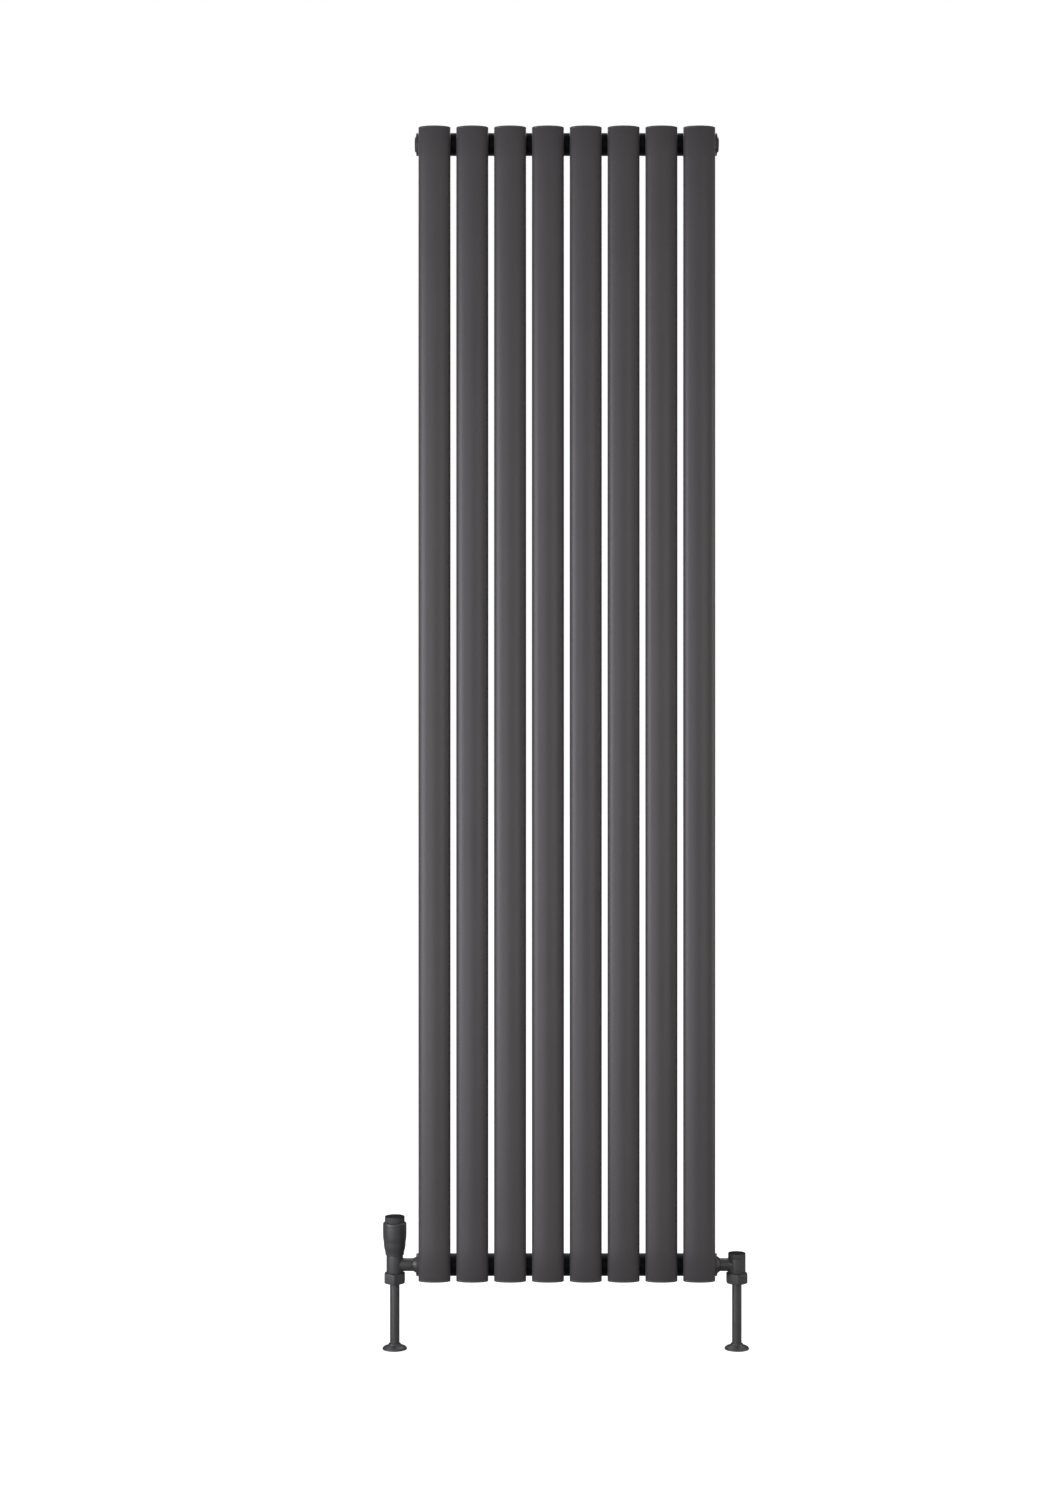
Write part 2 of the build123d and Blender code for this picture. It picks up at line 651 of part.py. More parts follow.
with BuildPart() as trv_sensor:
    turn(ring(0, SENSOR_R, SENSOR_LOW, SENSOR_TOP), trv_axis)
    fillet(trv_sensor.edges().filter_by(GeomType.CIRCLE), SENSOR_EDGE)
    turn(ring(0, SENSOR_PIN_R, PUSH_TOP, SENSOR_LOW), trv_axis)
save(trv_sensor, "trv_sensor")

with BuildPart() as trv_handwheel:
    with BuildSketch(trv_axis) as wheel_profile:
        with BuildLine():
            lip = Line((WHEEL_SKIRT_R, WHEEL_LOW), (WHEEL_LIP_R, WHEEL_LOW))
            skirt = Spline(lip @ 1, *SKIRT_POINTS)
            shoulder = TangentArc(skirt @ 1, (SHOULDER_R, WHEEL_TOP), tangent=SHOULDER_TANGENT)
            inside = [
                shoulder @ 1,
                (WHEEL_HOLE_R, WHEEL_TOP),
                (WHEEL_HOLE_R, WHEEL_TOP - 2.0),
                (WHEEL_INNER_R, WHEEL_TOP - 4.0),
                (WHEEL_INNER_R, WHEEL_STEP),
                (WHEEL_SKIRT_R, WHEEL_STEP - 1.0),
                lip @ 0,
            ]
            Polyline(*inside)
        make_face()
    revolve(wheel_profile.sketch, axis=Axis(trv_axis.origin, (0, 0, 1)))
    # A fine line round the barrel below the shoulder.
    turn(ring(*WHEEL_LINE), trv_axis, Mode.SUBTRACT)
save(trv_handwheel, "trv_handwheel")

with BuildPart() as trv_top_cap:
    turn(ring(HEAD_CAP_BORE_R, WHEEL_HOLE_R - FIT, SENSOR_TOP + FIT, WHEEL_TOP), trv_axis)
    turn(ring(0, HEAD_CAP_R, WHEEL_TOP, HEAD_CAP_TOP), trv_axis)
    fillet(trv_top_cap.edges().group_by(Axis.Z)[-1], HEAD_CAP_EDGE)
    turn(ring(0, HEAD_CAP_BORE_R, WHEEL_TOP, HEAD_CAP_TOP - HEAD_CAP_SKIN), trv_axis, Mode.SUBTRACT)
save(trv_top_cap, "trv_top_cap")

# ---- The lockshield valve
ls_axis = upright(FACE_X + LS_REACH)
RIM_R = 12.0
RIM_INNER_R = 10.9
RIM_TOP = 12.5
LS_BONNET_LOW = 4.0
LS_BONNET_R = 10.8
LS_BONNET_TOP = 12.0
LS_STEM_R = 3.5
LS_GROOVE_R = 5.0
LS_GROOVE = (8.0, 9.6)
LS_SEAL = (4.3, 0.66, 8.8)
LS_SQUARE = 4.8
LS_SQUARE_LONG = 2.5
LS_TIP = -5.1
LS_SHOULDER = -2.25
LS_CUP_R = 7.0
LS_CUP_TOP = -2.3
LS_CUP_FLOOR = -5.15
LS_CAP_LOW = 10.7
LS_CAP_TOP = 18.6
LS_CAP_SKIN = 1.6
LS_CAP_EDGE = 0.7

ls_body = valve_body(1, LS_REACH, LS_BODY_R, LS_BODY_TOP)
with ls_body:
    turn(ring(RIM_INNER_R, RIM_R, LS_BODY_TOP, RIM_TOP), ls_axis)
save(ls_body, "ls_body")

with BuildPart() as ls_bonnet:
    turn(ring(LS_STEM_R + THREAD_FIT, CHAMBER_R - THREAD_FIT, LS_BONNET_LOW, LS_BODY_TOP), ls_axis)
    turn(ring(LS_STEM_R + THREAD_FIT, LS_BONNET_R, LS_BODY_TOP, LS_BONNET_TOP), ls_axis)
    turn(ring(LS_STEM_R, LS_GROOVE_R, *LS_GROOVE), ls_axis, Mode.SUBTRACT)
save(ls_bonnet, "ls_bonnet")
save(o_ring(ls_axis, *LS_SEAL), "ls_spindle_seal")

with BuildPart() as ls_spindle:
    turn(ring(0, STEM_R, LS_TIP, LS_SHOULDER), ls_axis)
    turn(ring(0, LS_STEM_R, LS_SHOULDER, LS_BONNET_TOP), ls_axis)
    with BuildSketch(Plane(origin=(FACE_X + LS_REACH, HEADER_Y, LS_BONNET_TOP - HEADER_Z))):
        Rectangle(LS_SQUARE, LS_SQUARE)
    extrude(amount=LS_SQUARE_LONG)
save(ls_spindle, "ls_spindle")

with BuildPart() as ls_disc:
    cup = [
        (0, WASHER_LOW),
        (LS_CUP_R, WASHER_LOW),
        (LS_CUP_R, LS_CUP_TOP),
        (STEM_R + FIT, LS_CUP_TOP),
        (STEM_R + FIT, LS_CUP_FLOOR),
        (0, LS_CUP_FLOOR),
    ]
    turn(cup, ls_axis)
save(ls_disc, "ls_disc")

with BuildPart() as ls_cap:
    turn(ring(0, LS_BODY_R, LS_CAP_LOW, LS_CAP_TOP), ls_axis)
    fillet(ls_cap.edges().group_by(Axis.Z)[-1], LS_CAP_EDGE)
    turn(ring(0, RIM_R + FIT, LS_CAP_LOW, LS_CAP_TOP - LS_CAP_SKIN), ls_axis, Mode.SUBTRACT)
save(ls_cap, "ls_cap")
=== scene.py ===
# %% [markdown]
# # A tall oval-tube radiator with its valves
# The CAD frame brings every working piece at its real size. Here each visible piece gets its finished
# surface: the drawn tubes, the welded ends, the cast valves, the turned head and the pressed roses.
# Most are surfaces of revolution or swept sections, so one numpy grid function makes nearly all of them.

# %% The frame
import json
from math import cos, pi, radians, sin, sqrt

import bmesh
import bpy
import numpy as np
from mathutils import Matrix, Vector

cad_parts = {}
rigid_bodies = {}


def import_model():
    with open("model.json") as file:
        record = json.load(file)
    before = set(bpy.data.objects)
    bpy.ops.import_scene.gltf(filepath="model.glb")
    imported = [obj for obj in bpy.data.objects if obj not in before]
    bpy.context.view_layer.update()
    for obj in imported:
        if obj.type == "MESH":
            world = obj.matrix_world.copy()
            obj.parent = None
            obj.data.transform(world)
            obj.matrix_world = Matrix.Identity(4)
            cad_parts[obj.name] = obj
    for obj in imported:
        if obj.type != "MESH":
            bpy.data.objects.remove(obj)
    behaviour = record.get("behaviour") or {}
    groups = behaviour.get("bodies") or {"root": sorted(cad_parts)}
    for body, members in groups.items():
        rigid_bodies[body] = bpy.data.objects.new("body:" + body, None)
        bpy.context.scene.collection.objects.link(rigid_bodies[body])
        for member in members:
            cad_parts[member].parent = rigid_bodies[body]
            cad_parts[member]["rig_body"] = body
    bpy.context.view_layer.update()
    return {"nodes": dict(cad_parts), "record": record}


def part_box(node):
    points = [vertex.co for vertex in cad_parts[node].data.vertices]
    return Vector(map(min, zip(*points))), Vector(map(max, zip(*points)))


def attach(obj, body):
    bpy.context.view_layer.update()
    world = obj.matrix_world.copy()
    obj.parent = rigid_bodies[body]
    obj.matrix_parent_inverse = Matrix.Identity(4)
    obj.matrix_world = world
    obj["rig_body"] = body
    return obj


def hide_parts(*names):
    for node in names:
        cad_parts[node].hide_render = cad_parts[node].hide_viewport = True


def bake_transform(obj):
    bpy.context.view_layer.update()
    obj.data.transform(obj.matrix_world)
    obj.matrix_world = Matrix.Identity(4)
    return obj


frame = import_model()
MM = 0.001
node_body = {name: piece["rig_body"] for name, piece in frame["nodes"].items()}

# %% [markdown]
# ## Camera
# A long lens at about waist height, level and square to the wall, keeps the tubes upright and parallel.
# The radiator stands a little right of the lens's axis and a little above it, so no lens shift is needed.

# %% Camera
LENS_MM = 56.55
CAMERA_BACK = 3.676
CAMERA_LEFT = 0.0567
CAMERA_DOWN = 0.0714
tube_low, tube_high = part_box("tube_1")
tube_mid_y = (tube_low.y + tube_high.y) / 2
camera_data = bpy.data.cameras.new("camera")
camera_data.lens = LENS_MM
camera_data.dof.use_dof = False
camera = bpy.data.objects.new("camera", camera_data)
camera.location = (-CAMERA_LEFT, tube_mid_y - CAMERA_BACK, -CAMERA_DOWN)
camera.rotation_euler = (pi / 2, 0, 0)
bpy.context.scene.collection.objects.link(camera)
bpy.context.scene.camera = camera
bpy.context.scene.view_settings.view_transform = "Standard"
print("camera at", [round(v, 3) for v in camera.location])

# %% [markdown]
# ## Shader maths as plain expressions
# A `Val` wraps one output socket. Python operators on it add Math nodes, so a mask reads as the formula
# it is. Any other node comes from `node`, which sets the node's own settings first and its sockets next.

# %% Shader values


class Val:
    """One socket of a material's node tree, with the arithmetic operators that the masks below use."""

    def __init__(self, tree, socket):
        self.tree, self.socket = tree, socket

    def node(self, kind, settings=None, out=0, **sockets):
        """Add any node: its settings first, then values or links for its sockets.

        A socket goes by its name, with _ for each space, or by its number, as i0, i1 and so on.
        """
        made = self.tree.nodes.new(kind)
        for key, value in (settings or {}).items():
            setattr(made, key, value)
        for key, value in sockets.items():
            wanted = key.replace("_", " ")
            slot = int(key[1:]) if key[0] == "i" and key[1:].isdigit() else wanted
            if isinstance(value, Val):
                self.tree.links.new(value.socket, made.inputs[slot])
            else:
                made.inputs[slot].default_value = value
        return Val(self.tree, made.outputs[out])

    def math(self, operation, other, swap=False):
        """Add a Math node on this value and the other one, or the other way round with swap."""
        first, second = (other, self) if swap else (self, other)
        return self.node("ShaderNodeMath", {"operation": operation}, i0=first, i1=second)

    def __add__(self, other):
        return self.math("ADD", other)

    def __mul__(self, other):
        return self.math("MULTIPLY", other)

    def __sub__(self, other):
        return self.math("SUBTRACT", other)

    def __rsub__(self, other):
        return self.math("SUBTRACT", other, swap=True)

    def clamped(self):
        """The same value kept between 0 and 1."""
        return self.node("ShaderNodeClamp", i0=self)

    __radd__, __rmul__ = __add__, __mul__


def new_material(name):
    """A material with its Principled shader, and the Val of its Object coordinates to start from."""
    material = bpy.data.materials.new(name)
    material.use_nodes = True
    tree = material.node_tree
    shader = tree.nodes["Principled BSDF"]
    place = Val(tree, tree.nodes.new("ShaderNodeTexCoord").outputs["Object"])
    return material, shader, place


def feed(shader, **sockets):
    """Give a shader its sockets: numbers and colours directly, Vals as links."""
    for key, value in sockets.items():
        socket = shader.inputs[key.replace("_", " ")]
        if isinstance(value, Val):
            value.tree.links.new(value.socket, socket)
        else:
            socket.default_value = value


def noise(place, scale, detail=2.0, rough=0.5):
    """Soft noise from 0 to 1; the scale counts features to the metre."""
    return place.node("ShaderNodeTexNoise", Vector=place, Scale=scale, Detail=detail, Roughness=rough)


def blend_colour(mask, first, second):
    """The first colour where the mask is 0, the second where it is 1."""
    return mask.node("ShaderNodeMix", {"data_type": "RGBA"}, out=2, i0=mask, i6=first, i7=second)


def bump(height, depth):
    """A normal from a height of 0 to 1 that is `depth` metres tall."""
    return height.node("ShaderNodeBump", Height=height, Distance=depth, Strength=1.0)


# %% [markdown]
# ## Coats and metals
# Anthracite powder coat is baked paint: a satin film over steel with a faint orange peel, about a
# millimetre across and a few hundredths deep. Two scales of noise give the peel, and a slow one keeps
# the colour and the sheen from being dead even. The hidden metals get turning marks or drawn grain.

# %% Coats and metals
DRIFT_SCALE, PEEL_SCALE, SPECK_SCALE = 9.0, 900.0, 2600.0
DRIFT_SHARE = 0.65
SHEEN_WANDER = 0.08
METAL_WANDER, METAL_DROP = 0.14, 0.05
MOULDED_SPREAD = (0.85, 1.15)


def coat(name, dark, light, rough, peel_depth, specular=0.5, shade=None):
    """Satin paint: colour between two near shades, roughness that wanders a little, orange peel.

    A shade is a painted shade, colour standing in for shadow: (axis, where the full coat ends, where the
    dark is complete, dark colour), in metres along that axis. The colour goes over in a straight line
    between the two.
    """
    material, shader, place = new_material(name)
    drift = noise(place, DRIFT_SCALE, 3.0)
    speck = noise(place, SPECK_SCALE, 1.0)
    peel = noise(place, PEEL_SCALE, 2.0, 0.55)
    tone = drift * DRIFT_SHARE + speck * (1 - DRIFT_SHARE)
    colour = blend_colour(tone, (*dark, 1), (*light, 1))
    # Painted shade: the colour darkens to the shade's dark colour along one axis.
    if shade:
        axis, full, done, dark_colour = shade
        along = place.node("ShaderNodeSeparateXYZ", out=axis, Vector=place)
        reached = ((along - done) * (1 / (full - done))).clamped()
        colour = blend_colour(reached, (*dark_colour, 1), colour)
    feed(
        shader,
        Base_Color=colour,
        Roughness=rough - SHEEN_WANDER / 2 + drift * SHEEN_WANDER,
        Metallic=0.0,
        Specular_IOR_Level=specular,
        Normal=bump(peel, peel_depth),
    )
    return material


def metal(name, dark, light, rough, grain, mark_depth):
    """Bare metal: tone and roughness follow fine marks, stretched by the grain's scale along each axis."""
    material, shader, place = new_material(name)
    marks = noise(place.node("ShaderNodeMapping", Vector=place, Scale=grain), 1.0, 3.0, 0.6)
    feed(
        shader,
        Base_Color=blend_colour(marks, (*dark, 1), (*light, 1)),
        Roughness=rough - METAL_DROP + marks * METAL_WANDER,
        Metallic=1.0,
        Normal=bump(marks, mark_depth),
    )
    return material


def moulded(name, shade, rough, texture_scale, texture_depth):
    """Plastic or rubber: one shade with a fine moulded texture."""
    material, shader, place = new_material(name)
    texture = noise(place, texture_scale, 2.0)
    shades = [(*(channel * factor for channel in shade), 1) for factor in MOULDED_SPREAD]
    feed(
        shader,
        Base_Color=blend_colour(texture, *shades),
        Roughness=rough - SHEEN_WANDER / 2 + texture * SHEEN_WANDER,
        Metallic=0.0,
        Normal=bump(texture, texture_depth),
    )
    return material


TURNED_GRAIN = (300.0, 300.0, 5200.0)
DRAWN_GRAIN = (900.0, 900.0, 120.0)
ANTHRACITE = ((0.066, 0.062, 0.065), (0.090, 0.085, 0.089))
VALVE_GREY = ((0.046, 0.045, 0.048), (0.062, 0.060, 0.064))
HEAD_GREY = ((0.042, 0.041, 0.044), (0.056, 0.055, 0.059))
BRASS = ((0.62, 0.44, 0.19), (0.78, 0.60, 0.31))
STEEL = ((0.50, 0.50, 0.49), (0.66, 0.66, 0.65))
NICKEL = ((0.66, 0.67, 0.68), (0.80, 0.81, 0.82))
finishes = {
    "anthracite_coat": coat("anthracite_coat", *ANTHRACITE, 0.40, 0.00002),
    "valve_coat": coat("valve_coat", *VALVE_GREY, 0.42, 0.000002, 0.8),
    "head_shell": coat("head_shell", *HEAD_GREY, 0.36, 0.000002, 0.9),
    "head_plastic": moulded("head_plastic", (0.030, 0.030, 0.032), 0.50, 3200.0, 0.00001),
    "brass": metal("brass", *BRASS, 0.28, TURNED_GRAIN, 0.000004),
    "bare_steel": metal("bare_steel", *STEEL, 0.36, DRAWN_GRAIN, 0.000004),
    "sensor_metal": metal("sensor_metal", *NICKEL, 0.30, DRAWN_GRAIN, 0.000003),
    "black_rubber": moulded("black_rubber", (0.028, 0.028, 0.028), 0.72, 1500.0, 0.00002),
}
slot_of = {part["node"]: part["material_slot"] for part in frame["record"]["subparts"]}
for name, piece in frame["nodes"].items():
    piece.data.materials.clear()
    piece.data.materials.append(finishes[slot_of[name]])
print("finishes:", ", ".join(finishes))

# %% [markdown]
# ## Three painted shades
# Between the tubes the front of each header pipe is painted dark, a painted shade for the shadow in the
# gaps: it starts where the pipe's front turns towards the gap. Both valve caps are dull, and the disc on
# top of each is painted darker, a painted shade on the flat top. Each shade is a ramp along one Object
# axis, so it stays with its piece when the piece moves.

# %% Painted shades
Y_AXIS, Z_AXIS = 1, 2
CAP_GREY = ((0.064, 0.062, 0.067), (0.082, 0.080, 0.086))
# Painted shade: the header pipes' front goes near black between the tubes, where shadow falls.
GAP_PAINTED_SHADE = (Y_AXIS, -0.046, -0.052, (0.004, 0.0055, 0.010))
# Painted shade: the flat top discs of the two valve caps are darkened.
HEAD_DISC_PAINTED_SHADE = (Z_AXIS, -0.8048, -0.8042, (0.008, 0.008, 0.008))
LOCKSHIELD_DISC_PAINTED_SHADE = (Z_AXIS, -0.8622, -0.8617, (0.006, 0.005, 0.005))
# The header coat carries the painted shadow between the tubes.
header_coat = coat("header_coat", *ANTHRACITE, 0.55, 0.00001, 0.15, GAP_PAINTED_SHADE)
# The two cap coats carry the painted dark disc on top.
head_cap_painted_shade_coat = coat("head_cap_painted_shade_coat", *CAP_GREY, 0.5, 0.000002, 0.25, HEAD_DISC_PAINTED_SHADE)
lockshield_cap_painted_shade_coat = coat("lockshield_cap_painted_shade_coat", *CAP_GREY, 0.5, 0.000002, 0.25, LOCKSHIELD_DISC_PAINTED_SHADE)
print("local shades:", header_coat.name, head_cap_painted_shade_coat.name, lockshield_cap_painted_shade_coat.name)

# %% [markdown]
# ## Grids of points
# Every surface is a grid of points, in millimetres, that closes on itself both ways: round the piece,
# and along the outline of its wall. A corner of an outline is eased by a short parabola, which touches
# both sides one setback away from the corner, so edges catch the light as painted edges do.

# %% Surfaces
ROUND_STEPS = 128
HEX_STEPS = ROUND_STEPS * 3
CORNER_STEPS = 4
BEAD_STEPS = 12
HEX_CORNER_ROUND, HEX_NOSE_SLOPE = 0.4, 0.25
HEX_FACE_LAND = 0.15
HEX_EDGE = 0.2
MERGE = 2e-6
SHARP = 32.0


def unit(vectors):
    """The same directions at length one."""
    return vectors / np.maximum(np.linalg.norm(vectors, axis=-1, keepdims=True), 1e-12)


def eased(corners, setbacks):
    """A closed outline with its corners eased; corners is (..., corner, 2) and may vary round a piece."""
    corners = np.asarray(corners, float)
    reach = np.broadcast_to(np.asarray(setbacks, float), corners.shape[:-1])[..., None]
    start = corners + unit(np.roll(corners, 1, axis=-2) - corners) * reach
    end = corners + unit(np.roll(corners, -1, axis=-2) - corners) * reach
    s = np.linspace(0, 1, CORNER_STEPS + 1)[:, None]
    weights = [(1 - s) ** 2, 2 * s * (1 - s), s**2]
    curve = sum(w * p[..., None, :] for w, p in zip(weights, (start, corners, end)))
    return curve.reshape(*corners.shape[:-2], -1, 2)


def smooth_line(points, steps=8):
    """A curve through the points, each span a cubic whose end slopes follow the neighbouring points."""
    points = np.asarray(points, float)
    slopes = np.gradient(points, axis=0)
    s = np.linspace(0, 1, steps, endpoint=False)[:, None]
    arrive = 3 * s**2 - 2 * s**3
    spans = [
        (1 - arrive) * a + (s**3 - 2 * s**2 + s) * da + arrive * b + (s**3 - s**2) * db
        for a, b, da, db in zip(points[:-1], points[1:], slopes[:-1], slopes[1:])
    ]
    return np.concatenate([*spans, points[-1:]])


def turned(outline, steps=ROUND_STEPS):
    """Spin an outline of (radius, height) about the local Z; it may have one row for each angle."""
    angle = np.arange(steps)[:, None] * 2 * pi / steps
    radius, height = outline[..., 0], outline[..., 1]
    return np.stack(np.broadcast_arrays(radius * np.cos(angle), radius * np.sin(angle), height), axis=-1)


def hexagon_radius(flats, turn_degrees=0.0):
    """Radius of a hexagon at each angle; its corners are cut back a little to a rounded nose."""
    angle = np.arange(HEX_STEPS) * 2 * pi / HEX_STEPS - radians(turn_degrees)
    from_flat = (angle + pi / 6) % (pi / 3) - pi / 6
    sharp = flats / 2 / np.cos(from_flat)
    nose = flats / 2 / cos(pi / 6) - HEX_CORNER_ROUND
    return np.where(sharp < nose, sharp, nose + HEX_NOSE_SLOPE * (sharp - nose))


def hex_outline(flats, low, high, bore, turn_degrees=0.0, chamfer_low=True):
    """Outline rows of a hexagon block with its end corners turned off at 30 degrees."""
    radius = hexagon_radius(flats, turn_degrees)
    face = flats / 2 - HEX_FACE_LAND
    drop = (radius - face) * np.tan(pi / 6)
    flat = np.zeros_like(radius)
    rows = [
        (flat + bore, flat + low),
        (flat + face if chamfer_low else radius - HEX_EDGE, flat + low),
        (radius, low + (drop if chamfer_low else flat + HEX_EDGE)),
        (radius, high - drop),
        (flat + face, flat + high),
        (flat + bore, flat + high),
    ]
    return np.stack([np.stack(row, axis=-1) for row in rows], axis=1)


def swept_bead(path, wide, high, lift, ripple, ripples):
    """A weld bead: an oval section along a closed path, with `lift` the way its crown faces.

    Its size swells and shrinks by the share `ripple`, as a sine with `ripples` waves along the path.
    """
    count = len(path)
    along = unit(np.roll(path, -1, axis=0) - np.roll(path, 1, axis=0))
    crown = unit(lift - along * np.sum(lift * along, axis=1, keepdims=True))
    across = np.cross(along, crown)
    swell = 1 + ripple * np.sin(np.arange(count) * 2 * pi * ripples / count)[:, None, None]
    turn = np.linspace(0, 2 * pi, BEAD_STEPS, endpoint=False)[None, :, None]
    section = across[:, None] * np.cos(turn) * wide / 2 + crown[:, None] * np.sin(turn) * high
    return path[:, None] + section * swell


# %% [markdown]
# ## Pieces
# `build` joins a piece's grids into one mesh, welds the poles and seams, and ties the piece to the
# frame: the body it rides on, the CAD nodes it stands for and the finish it takes.

# %% Pieces


def build(name, grids, nodes, finish=None, stretch=None):
    """One finished piece from its grids of points in millimetres; (grid, False) has an open outline.

    The piece rides on its CAD node's body; when stretch is given, its transform is baked and it rides on
    no body.
    """
    points, faces, count = [], [], 0
    for entry in grids:
        grid, closed = entry if isinstance(entry, tuple) else (entry, True)
        rows, columns = grid.shape[:2]
        spans = np.arange(columns if closed else columns - 1)
        row, column = np.meshgrid(np.arange(rows), spans, indexing="ij")
        next_row, next_column = (row + 1) % rows, (column + 1) % columns
        corners = [(row, column), (next_row, column), (next_row, next_column), (row, next_column)]
        faces.append(count + np.stack([r * columns + c for r, c in corners], axis=-1).reshape(-1, 4))
        points.append(grid.reshape(-1, 3))
        count += rows * columns
    mesh = bpy.data.meshes.new(name)
    mesh.from_pydata(np.concatenate(points) * MM, [], np.concatenate(faces).tolist())
    shape = bmesh.new()
    shape.from_mesh(mesh)
    bmesh.ops.remove_doubles(shape, verts=shape.verts, dist=MERGE)
    loose = [edge for edge in shape.edges if not edge.link_faces]
    bmesh.ops.delete(shape, geom=loose, context="EDGES")
    bmesh.ops.recalc_face_normals(shape, faces=shape.faces)
    shape.to_mesh(mesh)
    shape.free()
    mesh.shade_smooth()
    mesh.set_sharp_from_angle(angle=radians(SHARP))
    nodes = [nodes] if isinstance(nodes, str) else nodes
    mesh.materials.append(finish or finishes[slot_of[nodes[0]]])
    piece = bpy.data.objects.new(name, mesh)
    bpy.context.scene.collection.objects.link(piece)
    if stretch:
        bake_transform(piece)
    else:
        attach(piece, node_body[nodes[0]])
    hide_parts(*nodes)
    print(f"{name}: {len(mesh.polygons)} faces for {', '.join(nodes)}")
    return piece


# %% [markdown]
# ## The row frame's lines
# Valves stand on upright lines through the lower header's height. Ports, plugs and tails lie on the
# headers' own lines, and count their distances out of the headers' end faces.

# %% Lines
TUBE_COUNT = 8
TUBE_PITCH = 59.0
TUBE_XS = (np.arange(TUBE_COUNT) - (TUBE_COUNT - 1) / 2) * TUBE_PITCH
TUBE_Y = -69.5
TUBE_A, TUBE_B = 25.0, 12.5
TUBE_WALL = 1.5
TUBE_END = 897.5
CAP_TOP = 900.0
HEADER_Y, HEADER_Z = -43.0, 880.0
HEADER_R, HEADER_BORE_R = 17.5, 15.5
HEADER_END = 231.0
FACE_X = 236.0
TRV_X, LS_X = -270.0, 267.5
LEVELS = {"upper": 1, "lower": -1}
SIDES = {"left": -1, "right": 1}


def stand(points, x):
    """Put turned points on the upright line at x, heights counted from the lower header's line."""
    return points + np.array([x, HEADER_Y, -HEADER_Z])


def lie(points, side, up, x=FACE_X, y=HEADER_Y):
    """Lay turned points along X at a header's height, their own heights counted outwards from x."""
    axes = np.array([[0, 0, 1], [0, -side, 0], [side, 0, 0]], float)
    return points @ axes + np.array([side * x, y, up * HEADER_Z])


# %% [markdown]
# ## Tubes
# Each tube is a drawn ellipse, 50 by 25 mm, closed by a plate at each end. The plate's outer edge is
# eased by a millimetre, and the ground weld leaves a shallow line where plate and tube meet.

# %% Tubes
TUBE_STEPS = 160
RUN_ROWS = 36
SEAM = 0.18
SEAM_HALF = 0.35


def oval(inset):
    """Points round the tube's ellipse, drawn in by the inset: ((A - inset) cos a, (B - inset) sin a)."""
    angle = np.arange(TUBE_STEPS) * 2 * pi / TUBE_STEPS
    return np.stack([(TUBE_A - inset) * np.cos(angle), (TUBE_B - inset) * np.sin(angle)], axis=-1)


def oval_stack(rows, x):
    """A grid up an oval piece at x from rows of (inset, height)."""
    loops = [np.column_stack([oval(inset), np.full(TUBE_STEPS, height)]) for inset, height in rows]
    return np.stack(loops, axis=1) + np.array([x, TUBE_Y, 0])


outer_run = [(0.0, z) for z in np.linspace(-TUBE_END + SEAM_HALF, TUBE_END - SEAM_HALF, RUN_ROWS)]
inner_run = [(TUBE_WALL, z) for z in np.linspace(TUBE_END, -TUBE_END, RUN_ROWS)]
tube_rows = [(SEAM, -TUBE_END), *outer_run, (SEAM, TUBE_END), *inner_run]
for number, x in enumerate(TUBE_XS, start=1):
    build(f"oval_tube_{number}", [oval_stack(tube_rows, x)], f"tube_{number}")

# %% Tube ends
SPINE_HALF = (TUBE_A**2 - TUBE_B**2) / TUBE_A
rim_round = [(0.0, 1.0), (0.08, 0.62), (0.3, 0.3), (0.62, 0.08), (1.0, 0.0)]
plate_rows = [(SEAM, TUBE_END), (0.0, TUBE_END + SEAM_HALF)]
plate_rows += [(inset, CAP_TOP - drop) for inset, drop in rim_round]


def end_plate(x, up):
    """The plate that closes a tube: its eased rim, and two faces drawn in to the ellipse's own spine."""
    rim = oval_stack([(inset, up * height) for inset, height in plate_rows], x)
    spine = SPINE_HALF * np.cos(np.arange(TUBE_STEPS) * 2 * pi / TUBE_STEPS) + x
    faces = [
        np.stack([spine, np.full_like(spine, TUBE_Y), np.full_like(spine, up * height)], axis=-1)
        for height in (TUBE_END, CAP_TOP)
    ]
    return np.concatenate([faces[0][:, None], rim, faces[1][:, None]], axis=1), False


build("tube_ends", [end_plate(x, up) for up in (1, -1) for x in TUBE_XS], "tube_end_caps")

# %% [markdown]
# ## Headers
# A header is a 35 mm pipe with a saddle for each tube: its radius at any angle is the smaller of its
# own and the distance to the tube's ellipse. A weld bead runs round every saddle, on the curve that
# the two surfaces share, and round both ends where the threaded bosses are welded in.

# %% Headers
SADDLE_STEPS = 36
HEADER_STEPS = 128
SADDLE_GAP = 0.03
INNER_WALL = 0.5
END_EASE = 0.4
SIDE_FACING = 0.05
BEAD_WIDE, BEAD_HIGH, BEAD_POINTS, BEAD_WAVES = 2.2, 0.6, 144, 34
RING_WIDE, RING_HIGH, RING_POINTS, RING_WAVES = 2.0, 0.25, 180, 44
RIPPLE = 0.05
saddle_half = TUBE_A * sqrt(1 - ((HEADER_Y - HEADER_R - TUBE_Y) / TUBE_B) ** 2)
saddle_stations = saddle_half * np.cos(np.linspace(pi, 0, SADDLE_STEPS))
header_x = np.concatenate([x + saddle_stations for x in TUBE_XS])
end_stations = np.array([HEADER_END - END_EASE, HEADER_END])
header_x = np.concatenate([-end_stations[::-1], header_x, end_stations])


def header_skin(angle):
    """Radius of the header at every station and angle, drawn in where a tube stands in its way."""
    offset = np.abs(header_x[:, None] - TUBE_XS).min(axis=1) / TUBE_A
    tube_back = TUBE_Y + TUBE_B * np.sqrt(np.maximum(1 - offset**2, 0)) - HEADER_Y
    room = np.where(offset < 1, -tube_back - SADDLE_GAP, HEADER_R)[:, None]
    facing = np.maximum(-np.cos(angle), SIDE_FACING)[None, :]
    skin = np.minimum(HEADER_R, room / facing)
    skin[[0, -1]] -= END_EASE
    return skin


